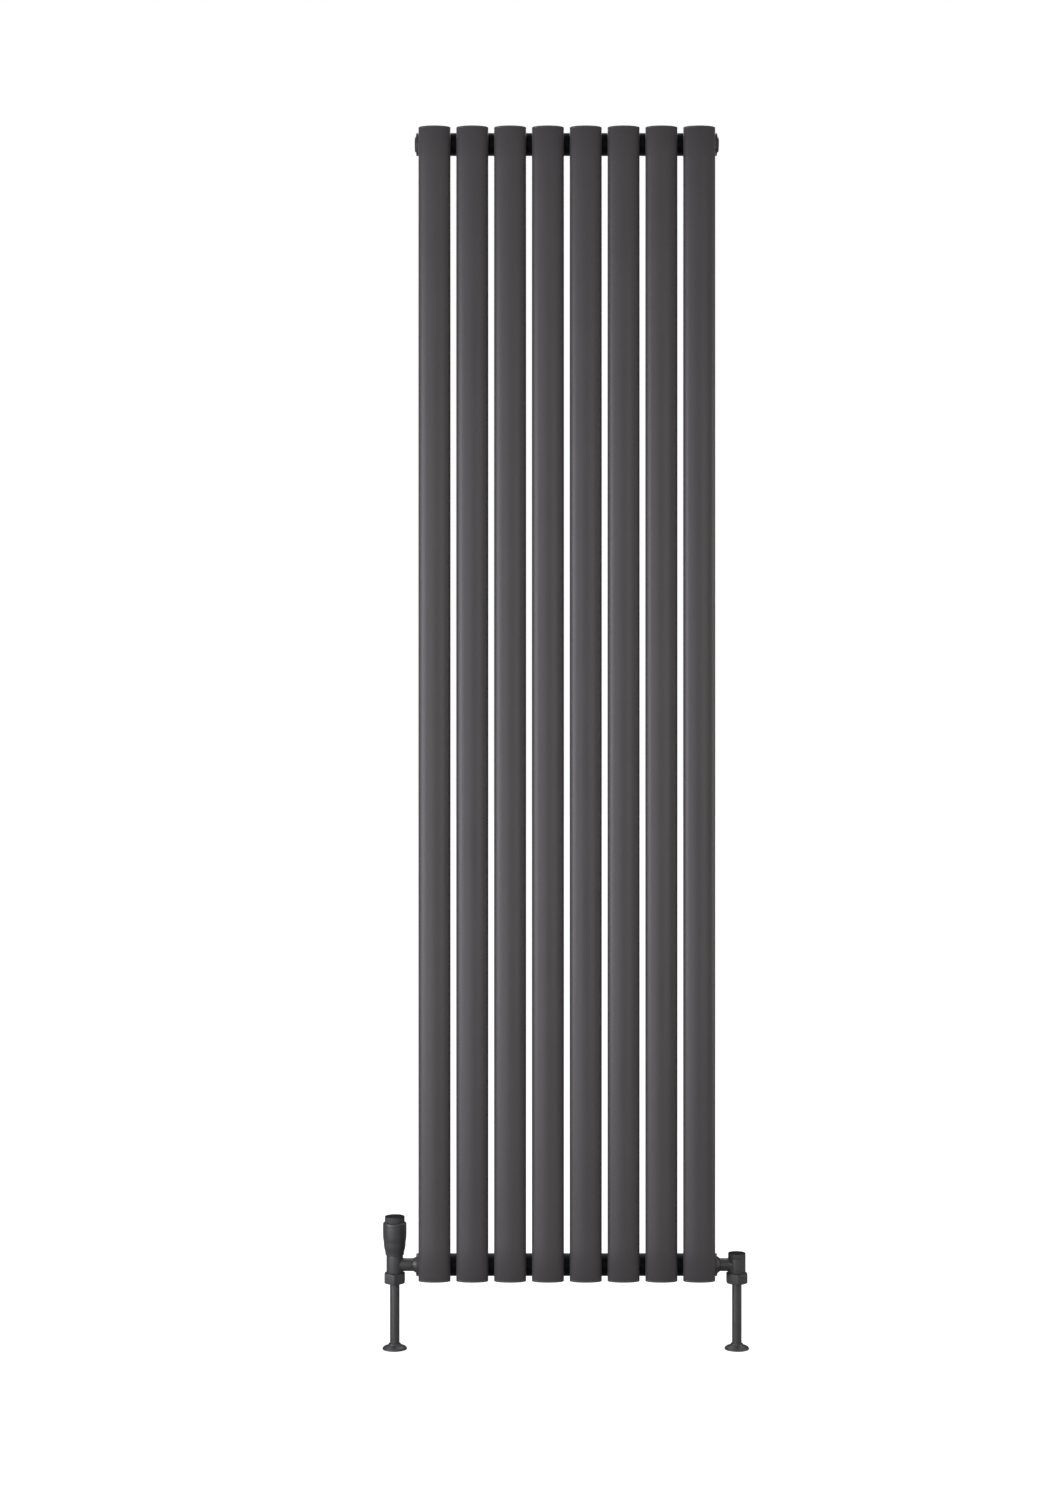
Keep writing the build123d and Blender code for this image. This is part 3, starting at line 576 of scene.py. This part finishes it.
def saddle_path(x, z):
    """The closed curve where the header's pipe meets the tube at x.

    The ellipse's own angle swings between the saddle's two corners, and the height at each point is
    the pipe's: the square root of its radius squared less its depth squared.
    """
    phase = np.arange(BEAD_POINTS) * 2 * pi / BEAD_POINTS
    corner = np.arccos(saddle_half / TUBE_A)
    turn = pi / 2 + (pi / 2 - corner) * np.cos(phase)
    y = TUBE_Y + TUBE_B * np.sin(turn)
    rise = np.sqrt(np.maximum(HEADER_R**2 - (y - HEADER_Y) ** 2, 0)) * np.sign(np.sin(phase))
    return np.stack([x + TUBE_A * np.cos(turn), y, z + rise], axis=-1)


def saddle_weld(x, z):
    """The bead round one saddle, its crown leaning out of the corner between pipe and tube."""
    path = saddle_path(x, z)
    from_pipe = unit(path - np.array([0, HEADER_Y, z]) - path * [1, 0, 0])
    from_tube = unit((path - [x, TUBE_Y, 0]) / [TUBE_A**2, TUBE_B**2, 1] * [1, 1, 0])
    return swept_bead(path, BEAD_WIDE, BEAD_HIGH, from_pipe + from_tube, RIPPLE, BEAD_WAVES)


def ring_weld(x, z):
    """The flat bead round a header's end."""
    angle = np.arange(RING_POINTS) * 2 * pi / RING_POINTS
    outward = np.stack([np.zeros(RING_POINTS), np.cos(angle), np.sin(angle)], axis=-1)
    path = outward * HEADER_R + np.array([x, HEADER_Y, z])
    return swept_bead(path, RING_WIDE, RING_HIGH, outward, RIPPLE, RING_WAVES)


skin_angle = np.arange(HEADER_STEPS) * 2 * pi / HEADER_STEPS
outer_skin = header_skin(skin_angle)
inner_skin = np.minimum(HEADER_BORE_R, outer_skin - INNER_WALL)[::-1]
for level, up in LEVELS.items():
    radius = np.concatenate([outer_skin, inner_skin])
    station = np.concatenate([header_x, header_x[::-1]])[:, None]
    y = HEADER_Y + radius * np.cos(skin_angle)
    z = up * HEADER_Z + radius * np.sin(skin_angle)
    pipe = np.stack(np.broadcast_arrays(station, y, z), axis=-1)
    welds = [saddle_weld(x, up * HEADER_Z) for x in TUBE_XS]
    rings = [ring_weld(side * HEADER_END, up * HEADER_Z) for side in SIDES.values()]
    grids = [pipe.transpose(1, 0, 2), *welds, *rings]
    # The header pipes take the coat with the painted shade between the tubes.
    build(f"{level}_header_pipe", grids, f"{level}_header", header_coat)

# %% Bosses
BOSS_BORE_R, BOSS_STEP_R = 10.5, 15.45
BOSS_LOW, BOSS_RIM = -13.0, -5.0
boss_corners = [(BOSS_BORE_R, BOSS_LOW), (BOSS_STEP_R, BOSS_LOW), (BOSS_STEP_R, BOSS_RIM)]
boss_corners += [(HEADER_R, BOSS_RIM), (HEADER_R, 0), (BOSS_BORE_R, 0)]
boss_outline = eased(boss_corners, [0.3, 0.5, 0, 0.2, 0.5, 0.6])
for level, up in LEVELS.items():
    for side_name, side in SIDES.items():
        ring = lie(turned(boss_outline), side, up)
        build(f"{level}_{side_name}_boss", [ring], f"boss_{level}_{side_name}")

# %% [markdown]
# ## Plugs
# Both plugs have a thin hexagon head. The vent plug's head is bored for the nozzle, which stays a CAD
# piece with its keyhole and spout, as does the square of the bleed screw inside it.

# %% Plugs
PLUG_FLATS = 22.0
PLUG_THREAD_R = 10.4
PLUG_LOW = -12.0
HOLLOW_R, HOLLOW_TOP = 6.5, -2.0
BLANK_THICK, VENT_THICK = 2.2, 2.6
POINT_UP = 30.0
NOZZLE_HOLE_R, NOZZLE_SEAT = 6.5, -1.6
BLEED_HOLE_R, BLEED_SEAT = 3.05, -9.0
VENT_PORT_R = 1.5


def plug_head(side, thick, bore):
    """A plug's hexagon, laid against the boss."""
    rows = hex_outline(PLUG_FLATS, 0, thick, bore, POINT_UP, chamfer_low=False)
    return lie(turned(eased(rows, [0.0, 0.15, 0.1, 0.2, 0.2, 0.1]), HEX_STEPS), side, 1)


hollow = [(0, HOLLOW_TOP), (HOLLOW_R, HOLLOW_TOP), (HOLLOW_R, PLUG_LOW)]
hollow += [(PLUG_THREAD_R, PLUG_LOW), (PLUG_THREAD_R, 0.0), (0, 0.0)]
blank_barrel = lie(turned(eased(hollow, [0, 0.2, 0.2, 0.6, 0, 0])), -1, 1)
build("blanking_plug_head", [plug_head(-1, BLANK_THICK, 0.0), blank_barrel], "blanking_plug")
bored = [
    (VENT_PORT_R, PLUG_LOW),
    (PLUG_THREAD_R, PLUG_LOW),
    (PLUG_THREAD_R, 0.0),
    (NOZZLE_HOLE_R, 0.0),
    (NOZZLE_HOLE_R, NOZZLE_SEAT),
    (BLEED_HOLE_R, NOZZLE_SEAT),
    (BLEED_HOLE_R, BLEED_SEAT),
    (VENT_PORT_R, BLEED_SEAT),
]
vent_barrel = lie(turned(eased(bored, [0.2, 0.6, 0, 0, 0.1, 0.1, 0.1, 0.1])), 1, 1)
build("vent_plug_head", [plug_head(1, VENT_THICK, NOZZLE_HOLE_R), vent_barrel], "vent_plug")

# %% [markdown]
# ## Valves
# Both valves are turned castings: a body on an upright line and a branch that runs to the radiator and
# flares into the body. The flare is a quarter circle swept round the branch, set against the body's
# own curve, so every row of it knows how far it is from the body's surface.

# %% Valve shapes
CAST_FILLET = 1.5
BRANCH_R, BRANCH_BORE_R = 10.0, 7.0
BRANCH_START = 5.0
BRANCH_EASE, BRANCH_EASE_MID = 0.5, 0.12
ROOT_SINK, ROOT_DRAW = 0.5, 0.3
SOCKET_R, SOCKET_DEEP = 8.05, 15.0
BODY_LOW, NECK_LOW = -12.5, -23.0
NECK_R = 10.4
CHAMBER_R, CHAMBER_FLOOR = 9.0, -8.0
SEAT_R, SEAT_BORE_R, SEAT_TOP = 6.5, 5.5, -7.0
SOCKET_TOP = -15.0
PIPE_R, PIPE_BORE_R, PIPE_HOLE_R = 7.5, 6.5, 7.55
PIPE_END = -162.5
WITNESS_R, WITNESS_LOW, WITNESS_HIGH = 7.2, -138.7, -137.5
NUT_FLATS = 31.4
NUT_LOW = -28.5
NUT_HOLE_R, NUT_THREAD_R, NUT_SHOULDER = 7.7, 10.5, -24.5
FLARE_STEPS = 8
FLOOR_BELOW = -132.5


def valve_barrel(body_r, body_top):
    """The body's closed outline: neck, barrel, chamber, seat and pipe socket."""
    corners = [(PIPE_HOLE_R, NECK_LOW), (NECK_R, NECK_LOW), (NECK_R, BODY_LOW), (body_r, BODY_LOW)]
    corners += [(body_r, body_top), (CHAMBER_R, body_top), (CHAMBER_R, CHAMBER_FLOOR)]
    corners += [(SEAT_R, CHAMBER_FLOOR), (SEAT_R, SEAT_TOP), (SEAT_BORE_R, SEAT_TOP)]
    corners += [(SEAT_BORE_R, SOCKET_TOP), (PIPE_HOLE_R, SOCKET_TOP)]
    return eased(corners, [0.4, 0.4, 0, 0.7, 0.5, 0.3, 0.3, 0.1, 0.1, 0.1, 0.2, 0.2])


def branch(side, reach, body_r):
    """The branch to the radiator, with its flare on the body.

    At each angle the body's surface is `reach` less the square root of the body's radius squared less
    the branch's sideways offset squared, and the flare's quarter circle is counted from there.
    """
    angle = np.arange(ROUND_STEPS) * 2 * pi / ROUND_STEPS
    flare = np.linspace(0, pi / 2, FLARE_STEPS)[None, :]
    radius = BRANCH_R + CAST_FILLET * (1 - np.cos(flare)) + 0 * angle[:, None]
    surface = reach - np.sqrt(body_r**2 - (radius * np.sin(angle)[:, None]) ** 2)
    distance = surface - CAST_FILLET * (1 - np.sin(flare))
    flat = np.zeros_like(angle)[:, None]
    mouth = [(BRANCH_BORE_R, SOCKET_DEEP), (SOCKET_R, SOCKET_DEEP), (SOCKET_R, BRANCH_START)]
    mouth += [(BRANCH_R - BRANCH_EASE, BRANCH_START)]
    mouth += [(BRANCH_R - BRANCH_EASE_MID, BRANCH_START + BRANCH_EASE_MID)]
    mouth += [(BRANCH_R, BRANCH_START + BRANCH_EASE)]
    mouth_r, mouth_d = np.array(mouth).T
    root_r = radius[:, -1:] - ROOT_DRAW
    end_d = surface[:, -1:] + ROOT_SINK
    rows_r = np.concatenate([mouth_r + flat, radius, root_r, BRANCH_BORE_R + flat], axis=1)
    rows_d = np.concatenate([mouth_d + flat, distance, end_d, end_d], axis=1)
    return lie(turned(np.stack([rows_r, rows_d], axis=-1)), side, -1)


def collar(side, wide_r):
    """The coned lock ring against the boss."""
    corners = [(SOCKET_R, 0), (wide_r, 0), (BRANCH_R, BRANCH_START), (SOCKET_R, BRANCH_START)]
    return lie(turned(eased(corners, [0.2, 0.5, 0.3, 0.2])), side, -1)


def nut(x, turn_degrees):
    """The compression nut, its corners turned off at both ends."""
    rows = hex_outline(NUT_FLATS, NUT_LOW, BODY_LOW, NUT_HOLE_R, turn_degrees)
    rows[:, 5, 0] = NUT_THREAD_R
    thread = [[NUT_THREAD_R, BODY_LOW], [NUT_THREAD_R, NUT_SHOULDER]]
    rows = np.concatenate([rows, np.broadcast_to(thread, (len(rows), 2, 2))], axis=1)
    setbacks = [0.3, 0.25, 0.3, 0.3, 0.25, 0, 0, 0.3]
    return stand(turned(eased(rows, setbacks), HEX_STEPS), x)


def pipe_tail(x):
    """The pipe down through the floor, with the witness line for the coupling under it."""
    corners = [(PIPE_BORE_R, PIPE_END), (PIPE_R, PIPE_END), (PIPE_R, WITNESS_LOW)]
    corners += [(WITNESS_R, WITNESS_LOW), (WITNESS_R, WITNESS_HIGH), (PIPE_R, WITNESS_HIGH)]
    corners += [(PIPE_R, SOCKET_TOP), (PIPE_BORE_R, SOCKET_TOP)]
    return stand(turned(eased(corners, [0.3, 0.3, 0, 0.1, 0.1, 0, 0.3, 0.3])), x)


def floor_rose(x):
    """The pressed rose: a rolled edge, a dome and a short neck round the pipe."""
    edge = [(7.6, 0.0), (18.9, 0.0), (19.18, 0.12), (19.3, 0.4)]
    dome = [(19.3, 1.3), (18.75, 2.55), (17.5, 3.8), (15.6, 4.8), (13.5, 5.55), (11.4, 6.25)]
    dome += [(10.25, 7.2), (9.68, 8.2), (9.5, 8.8)]
    neck = [(9.3, 9.0), (7.9, 9.0), (7.6, 8.7)]
    outline = np.concatenate([edge, smooth_line(dome), neck])
    return stand(turned(outline + [0, FLOOR_BELOW]), x)


# %% Valves
RIM_INNER_R, RIM_OUTER_R, RIM_TOP = 10.9, 12.0, 12.5
# Node prefix, flow, side, body radius, body top, the line's x, the nut's turn in degrees, the lock
# ring's radius.
VALVES = [
    ("trv", "supply", "left", 13.0, 18.0, TRV_X, 0.0, 12.6),
    ("ls", "return", "right", 13.65, 10.5, LS_X, 2.6, 13.8),
]
for name, flow, side_name, body_r, body_top, x, nut_turn, collar_r in VALVES:
    side = SIDES[side_name]
    reach = side * x - FACE_X
    barrel = stand(turned(valve_barrel(body_r, body_top)), x)
    rim = [(RIM_INNER_R, body_top), (RIM_OUTER_R, body_top)]
    rim += [(RIM_OUTER_R, RIM_TOP), (RIM_INNER_R, RIM_TOP)]
    rims = [stand(turned(eased(rim, 0.15)), x)] if name == "ls" else []
    build(f"{flow}_valve_body", [barrel, branch(side, reach, body_r), *rims], f"{name}_body")
    build(f"{flow}_lock_ring", [collar(side, collar_r)], f"{name}_tail_collar")
    build(f"{flow}_compression_nut", [nut(x, nut_turn)], f"{name}_compression_nut")
    build(f"{flow}_pipe_tail", [pipe_tail(x)], f"{flow}_pipe")
    build(f"{side_name}_floor_rose_shell", [floor_rose(x)], f"floor_collar_{side_name}")

# %% [markdown]
# ## Return spring
# The coil under the spindle's plate pushes the valve open. It is built between its foot on the bonnet
# and its top under the spindle's plate, and rides on no body.

# %% Return spring
COIL_R, WIRE_R, COIL_PITCH = 4.2, 0.55, 1.9
COIL_FOOT, COIL_RISE = 11.65, 7.7
COIL_STEPS, WIRE_STEPS = 360, 16


def coil():
    """A round wire along a helix, with both ends drawn to a point.

    The centre is (R cos a, R sin a, pitch * a / 2 pi), and the wire's circle lies across its tangent.
    """
    share = np.linspace(0, 1, COIL_STEPS)[None, :, None]
    angle = share * 2 * pi * COIL_RISE / COIL_PITCH
    outward = np.concatenate([np.cos(angle), np.sin(angle), 0 * angle], axis=-1)
    sideways = np.concatenate([-np.sin(angle), np.cos(angle), 0 * angle], axis=-1)
    along = unit(COIL_R * sideways + [0, 0, COIL_PITCH / (2 * pi)])
    upward = np.cross(outward, along)
    turn = (np.arange(WIRE_STEPS) * 2 * pi / WIRE_STEPS)[:, None, None]
    centre = outward * COIL_R + share * [0, 0, COIL_RISE] + [0, 0, COIL_FOOT]
    wire = centre + WIRE_R * (outward * np.cos(turn) + upward * np.sin(turn))
    ends = np.broadcast_to(centre, wire.shape)
    return stand(np.concatenate([ends[:, :1], wire, ends[:, -1:]], axis=1), TRV_X)


coil_ends = stand(np.array([[0, 0, COIL_FOOT], [0, 0, COIL_FOOT + COIL_RISE]]), TRV_X) * MM
build(
    "return_spring_coil",
    [(coil(), False)],
    "trv_return_spring",
    stretch=(node_body["trv_return_spring"], node_body["trv_spindle"], *coil_ends),
)

# %% [markdown]
# ## Thermostatic head and lockshield cap
# The head is a turned barrel that swells gently to its shoulder, with one fine line below it, and a
# narrower cap above. The lockshield has a plain lift-off cap of the body's own width.

# %% Heads
SKIRT_STEPS, SHOULDER_STEPS = 10, 10
SHOULDER_R, SHOULDER_LOW = 18.4, 64.2
SHOULDER_IN, SHOULDER_UP = 2.2, 2.5
wheel_foot = [(13.9, 15.7), (14.2, 15.72), (14.36, 15.84)]
wheel_skirt = [(14.4, 16.0), (14.9, 20.4), (16.6, 28.0), (17.3, 36.1), (18.2, 43.0)]
wheel_skirt += [(18.5, 54.9), (18.45, 60.0)]
fine_line = [(18.1, 60.12), (18.1, 60.78), (18.44, 60.9)]
shoulder_turn = np.linspace(0, pi / 2, SHOULDER_STEPS)
shoulder_r = SHOULDER_R - SHOULDER_IN * (1 - np.cos(shoulder_turn))
shoulder_z = SHOULDER_LOW + SHOULDER_UP * np.sin(shoulder_turn)
wheel_shoulder = np.stack([shoulder_r, shoulder_z], axis=-1)
wheel_inside = [(14.2, 66.7), (14.0, 66.5), (14.0, 64.7), (15.3, 62.7), (15.3, 29.5)]
wheel_inside += [(13.7, 28.5), (13.7, 15.9)]
skirt = smooth_line(wheel_skirt, SKIRT_STEPS)
wheel_outline = np.concatenate([wheel_foot, skirt, fine_line, wheel_shoulder, wheel_inside])
build("head_barrel", [stand(turned(wheel_outline), TRV_X)], "trv_handwheel")
cap_corners = [(0, 74.3), (9.5, 74.3), (9.5, 58.05), (13.95, 58.05)]
cap_corners += [(13.95, 66.75), (15.5, 66.75), (15.5, 76.5), (0, 76.5)]
cap_outline = eased(cap_corners, [0, 0.3, 0.3, 0.3, 0.1, 0.4, 1.4, 0])
# The head's top cap takes the coat with the painted dark disc on top.
build("head_top", [stand(turned(cap_outline), TRV_X)], "trv_top_cap", head_cap_painted_shade_coat)
lockshield = [(0, 17.0), (12.05, 17.0), (12.05, 10.7), (13.65, 10.7), (13.65, 18.6), (0, 18.6)]
lockshield_outline = eased(lockshield, [0, 0.4, 0.2, 0.3, 0.8, 0])
# The lockshield cap takes the coat with the painted dark disc on top.
build("lockshield_top", [stand(turned(lockshield_outline), LS_X)], "ls_cap", lockshield_cap_painted_shade_coat)

# %% [markdown]
# ## Hanging lugs and wall brackets
# A plate is a grid between two loops: the rectangle outside and the hole inside, each drawn in a
# little at both faces so the edges are eased. A leg with two holes is two such plates, joined on a
# square edge that isn't eased.

# %% Plates
PLATE_STEPS = 176
EDGE = 0.35
SLOT_SPREAD = 3.0


def box_loop(low, high, setbacks):
    """Evenly spaced points round a rectangle with rounded corners."""
    corners = [(low[0], low[1]), (high[0], low[1]), (high[0], high[1]), (low[0], high[1])]
    loop = eased(corners, setbacks)
    loop = np.vstack([loop, loop[:1]])
    length = np.concatenate([[0], np.cumsum(np.linalg.norm(np.diff(loop, axis=0), axis=1))])
    stops = np.linspace(0, length[-1], PLATE_STEPS, endpoint=False)
    return np.stack([np.interp(stops, length, loop[:, axis]) for axis in (0, 1)], axis=-1)


def plate(low, high, setbacks, hole, hole_r, thick, half_slot=0.0, joined=()):
    """A plate in its own XY, `thick` along Z; the sides named in `joined` have no eased edge.

    A slot is the round hole drawn apart along X: points that face well to one side go that way by
    `half_slot`, and the ones that face up or down go part of the way.
    """
    low, high = np.array(low, float), np.array(high, float)
    ease_low = np.array([0.0 if f"low{axis}" in joined else 1.0 for axis in "xy"])
    ease_high = np.array([0.0 if f"high{axis}" in joined else 1.0 for axis in "xy"])

    def outside(inset):
        return box_loop(low + inset * ease_low, high - inset * ease_high, setbacks)

    away = unit(outside(0) - hole)
    slot = np.column_stack([half_slot * np.clip(away[:, 0] * SLOT_SPREAD, -1, 1), np.zeros(PLATE_STEPS)])

    def inside(inset):
        return hole + slot + away * (hole_r + inset)

    rows = [(inside(EDGE), 0), (outside(EDGE), 0), (outside(0), EDGE), (outside(0), thick - EDGE)]
    rows += [(outside(EDGE), thick), (inside(EDGE), thick), (inside(0), thick - EDGE), (inside(0), EDGE)]
    loops = [np.column_stack([loop, np.full(PLATE_STEPS, height)]) for loop, height in rows]
    return np.stack(loops, axis=1)


# %% Lugs, brackets and their bolts
LUG_X, LUG_THICK = 147.5, 4.0
PLATE_THICK = 3.0
ARM_HOLE_R, ARM_HOLE_Y, ARM_SLOT_HALF = 4.3, -14.0, 3.7
WALL_HOLE_R, WALL_HOLE_X, WALL_HOLE_Z = 4.0, 162.0, 20.0
LEG_NEAR, LEG_FAR, LEG_HALF = 149.5, 172.5, 30.0
BOLT_Y = -16.0
BOLT_HOLE_R, BOLT_SHANK_R, BOLT_END = 4.05, 3.9, -12.0
BOLT_FLATS = 13.0
WASHER_R, WASHER_LOW, WASHER_TOP = 8.0, 3.0, 4.6
BOLT_HEAD_TOP = 9.9
BOLT_NUT_LOW, BOLT_NUT_TOP = -10.5, -4.0
SHANK_STEPS, WASHER_STEPS = 48, 96


def beside(points, side, up, x):
    """Stand a plate in the YZ plane: its own X is Y, its own Y is up, its thickness goes outwards."""
    axes = np.array([[0, 1, 0], [0, 0, 1], [side, 0, 0]], float)
    return points @ axes + np.array([side * x, 0, up * HEADER_Z])


def on_wall(points, side, up):
    """Lay a plate on the wall: its own X goes outwards, its own Y is up, its thickness to the room."""
    axes = np.array([[side, 0, 0], [0, 0, 1], [0, -1, 0]], float)
    return points @ axes + np.array([0, 0, up * HEADER_Z])


lug_plate = plate((-32, -15), (-9, 15), [0.1, 4, 4, 0.1], (BOLT_Y, 0), BOLT_HOLE_R, LUG_THICK)
arm_plate = plate(
    (-24.9, -14), (0, 14), [2, 0.1, 0.1, 2], (ARM_HOLE_Y, 0), ARM_HOLE_R, PLATE_THICK, ARM_SLOT_HALF
)
leg_high = plate(
    (LEG_NEAR, 0),
    (LEG_FAR, LEG_HALF),
    [0.05, 0.05, 3, 0.3],
    (WALL_HOLE_X, WALL_HOLE_Z),
    WALL_HOLE_R,
    PLATE_THICK,
    joined=("lowy",),
)
leg_low = plate(
    (LEG_NEAR, -LEG_HALF),
    (LEG_FAR, 0),
    [0.3, 3, 0.05, 0.05],
    (WALL_HOLE_X, -WALL_HOLE_Z),
    WALL_HOLE_R,
    PLATE_THICK,
    joined=("highy",),
)
places = [(*side_row, *level_row) for level_row in LEVELS.items() for side_row in SIDES.items()]
lugs = [beside(lug_plate, side, up, LUG_X - LUG_THICK / 2) for _, side, _, up in places]
build("header_lugs", lugs, "hanging_lugs")
for side_name, side, level, up in places:
    arm = beside(arm_plate, side, up, LUG_X + LUG_THICK / 2)
    legs = [on_wall(leg, side, up) for leg in (leg_high, leg_low)]
    build(f"{level}_{side_name}_bracket", [arm, *legs], f"wall_bracket_{level}_{side_name}")

head_rows = hex_outline(BOLT_FLATS, WASHER_TOP, BOLT_HEAD_TOP, 0.0, POINT_UP, chamfer_low=False)
bolt_head = turned(eased(head_rows, 0.1), HEX_STEPS)
shank = [(0, BOLT_END), (BOLT_SHANK_R, BOLT_END), (BOLT_SHANK_R, WASHER_TOP), (0, WASHER_TOP)]
bolt_shank = turned(eased(shank, [0, 0.8, 0, 0]), SHANK_STEPS)
washer = [(BOLT_HOLE_R, WASHER_LOW), (WASHER_R, WASHER_LOW)]
washer += [(WASHER_R, WASHER_TOP), (BOLT_HOLE_R, WASHER_TOP)]
nut_rows = hex_outline(BOLT_FLATS, BOLT_NUT_LOW, BOLT_NUT_TOP, BOLT_HOLE_R, POINT_UP)
fixings = {
    "bolts": [bolt_head, bolt_shank],
    "washers": [turned(eased(washer, 0.2), WASHER_STEPS)],
    "nuts": [turned(eased(nut_rows, 0.1), HEX_STEPS)],
}
bolt_x = LUG_X + LUG_THICK / 2
for name, shapes in fixings.items():
    set_of_four = [lie(shape, side, up, bolt_x, BOLT_Y) for shape in shapes for _, side, _, up in places]
    build(f"fixing_{name}", set_of_four, f"bracket_{name}")

# %% [markdown]
# ## Floor and light
# The floor is plain and pale and runs to the horizon in the same white as the background. The
# strongest soft panel stands well to the left, and its reflection is the pale band down the left of
# every tube. Weaker ones fill the front, the right and the floor side, the left ones a little cooler
# than the right ones. Two high panels behind the wall line light the back. The world is an even dim
# fill, except straight behind the radiator, where it is dimmer, so flat tops seen at a low angle
# mirror something dark.

# %% Floor and light
FLOOR_Z, FLOOR_ACROSS = -1.0125, 60.0
AIM = (0.0, -0.07, -0.05)
COOL, NEUTRAL, WARM = (0.95, 0.93, 1.0), (1.0, 0.98, 0.98), (1.0, 0.93, 0.89)
# Name, colour, azimuth and elevation in degrees, distance, width and height in metres, watts.
LIGHTS = [
    ("left_edge_panel", COOL, -70.0, 2.0, 2.6, 0.8, 2.0, 11.0),
    ("left_panel", COOL, -55.0, 2.0, 2.6, 0.8, 2.0, 26.0),
    ("front_panel", NEUTRAL, -20.0, 2.0, 2.6, 0.8, 2.0, 8.5),
    ("right_panel", WARM, 25.0, 2.0, 2.6, 0.8, 2.0, 8.5),
    ("right_edge_panel", WARM, 85.0, 2.0, 2.6, 0.8, 2.0, 14.0),
    ("low_panel", NEUTRAL, -30.0, -25.0, 2.6, 1.5, 0.8, 14.5),
    ("back_left_panel", NEUTRAL, -158.0, 48.0, 2.8, 1.0, 2.0, 15.0),
    ("back_right_panel", NEUTRAL, 158.0, 48.0, 2.8, 1.0, 2.0, 15.0),
]
AMBIENT, AMBIENT_BEHIND = 0.26, 0.02
DIM_FROM, DIM_TO = 0.30, 0.85
FLOOR_SHADE = 0.3


def panel(name, colour, azimuth, elevation, distance, width, height, watts):
    """A soft rectangular lamp, aimed at the middle of the radiator."""
    lamp = bpy.data.lights.new(name, "AREA")
    lamp.shape = "RECTANGLE"
    lamp.size, lamp.size_y = width, height
    lamp.color = colour
    lamp.energy = watts
    light = bpy.data.objects.new(name, lamp)
    turn, lift = radians(azimuth), radians(elevation)
    away = Vector((sin(turn) * cos(lift), -cos(turn) * cos(lift), sin(lift)))
    light.location = Vector(AIM) + away * distance
    light.rotation_euler = away.to_track_quat("Z", "Y").to_euler()
    bpy.context.scene.collection.objects.link(light)


def studio_world():
    """White behind the object for the camera, and a dim fill for everything else.

    The fill falls from AMBIENT to AMBIENT_BEHIND as the direction's part along +Y goes from DIM_FROM
    to DIM_TO, which is a soft cone straight behind the radiator.
    """
    world = bpy.data.worlds.new("studio")
    world.use_nodes = True
    bpy.context.scene.world = world
    tree = world.node_tree
    seen = Val(tree, tree.nodes.new("ShaderNodeLightPath").outputs["Is Camera Ray"])
    way = Val(tree, tree.nodes.new("ShaderNodeTexCoord").outputs["Generated"])
    along_y = way.node("ShaderNodeSeparateXYZ", out=1, Vector=way)
    behind = ((along_y - DIM_FROM) * (1 / (DIM_TO - DIM_FROM))).clamped()
    fill = AMBIENT - (AMBIENT - AMBIENT_BEHIND) * behind
    background = tree.nodes["Background"]
    strength = seen * (1.0 - fill) + fill
    tree.links.new(strength.socket, background.inputs["Strength"])
    background.inputs["Color"].default_value = (1, 1, 1, 1)


def studio_floor():
    """A plain floor that shows as white as the background, and gives back a third of its light."""
    bpy.ops.mesh.primitive_plane_add(size=FLOOR_ACROSS, location=(0, 0, FLOOR_Z))
    floor = bpy.context.object
    floor.name = "floor"
    material, shader, place = new_material("floor_paint")
    seen = place.node("ShaderNodeLightPath")
    grey = (FLOOR_SHADE, FLOOR_SHADE, FLOOR_SHADE, 1)
    feed(shader, Base_Color=grey, Roughness=0.9, Emission_Color=seen, Emission_Strength=1.0)
    floor.data.materials.append(material)


for row in LIGHTS:
    panel(*row)
studio_world()
studio_floor()
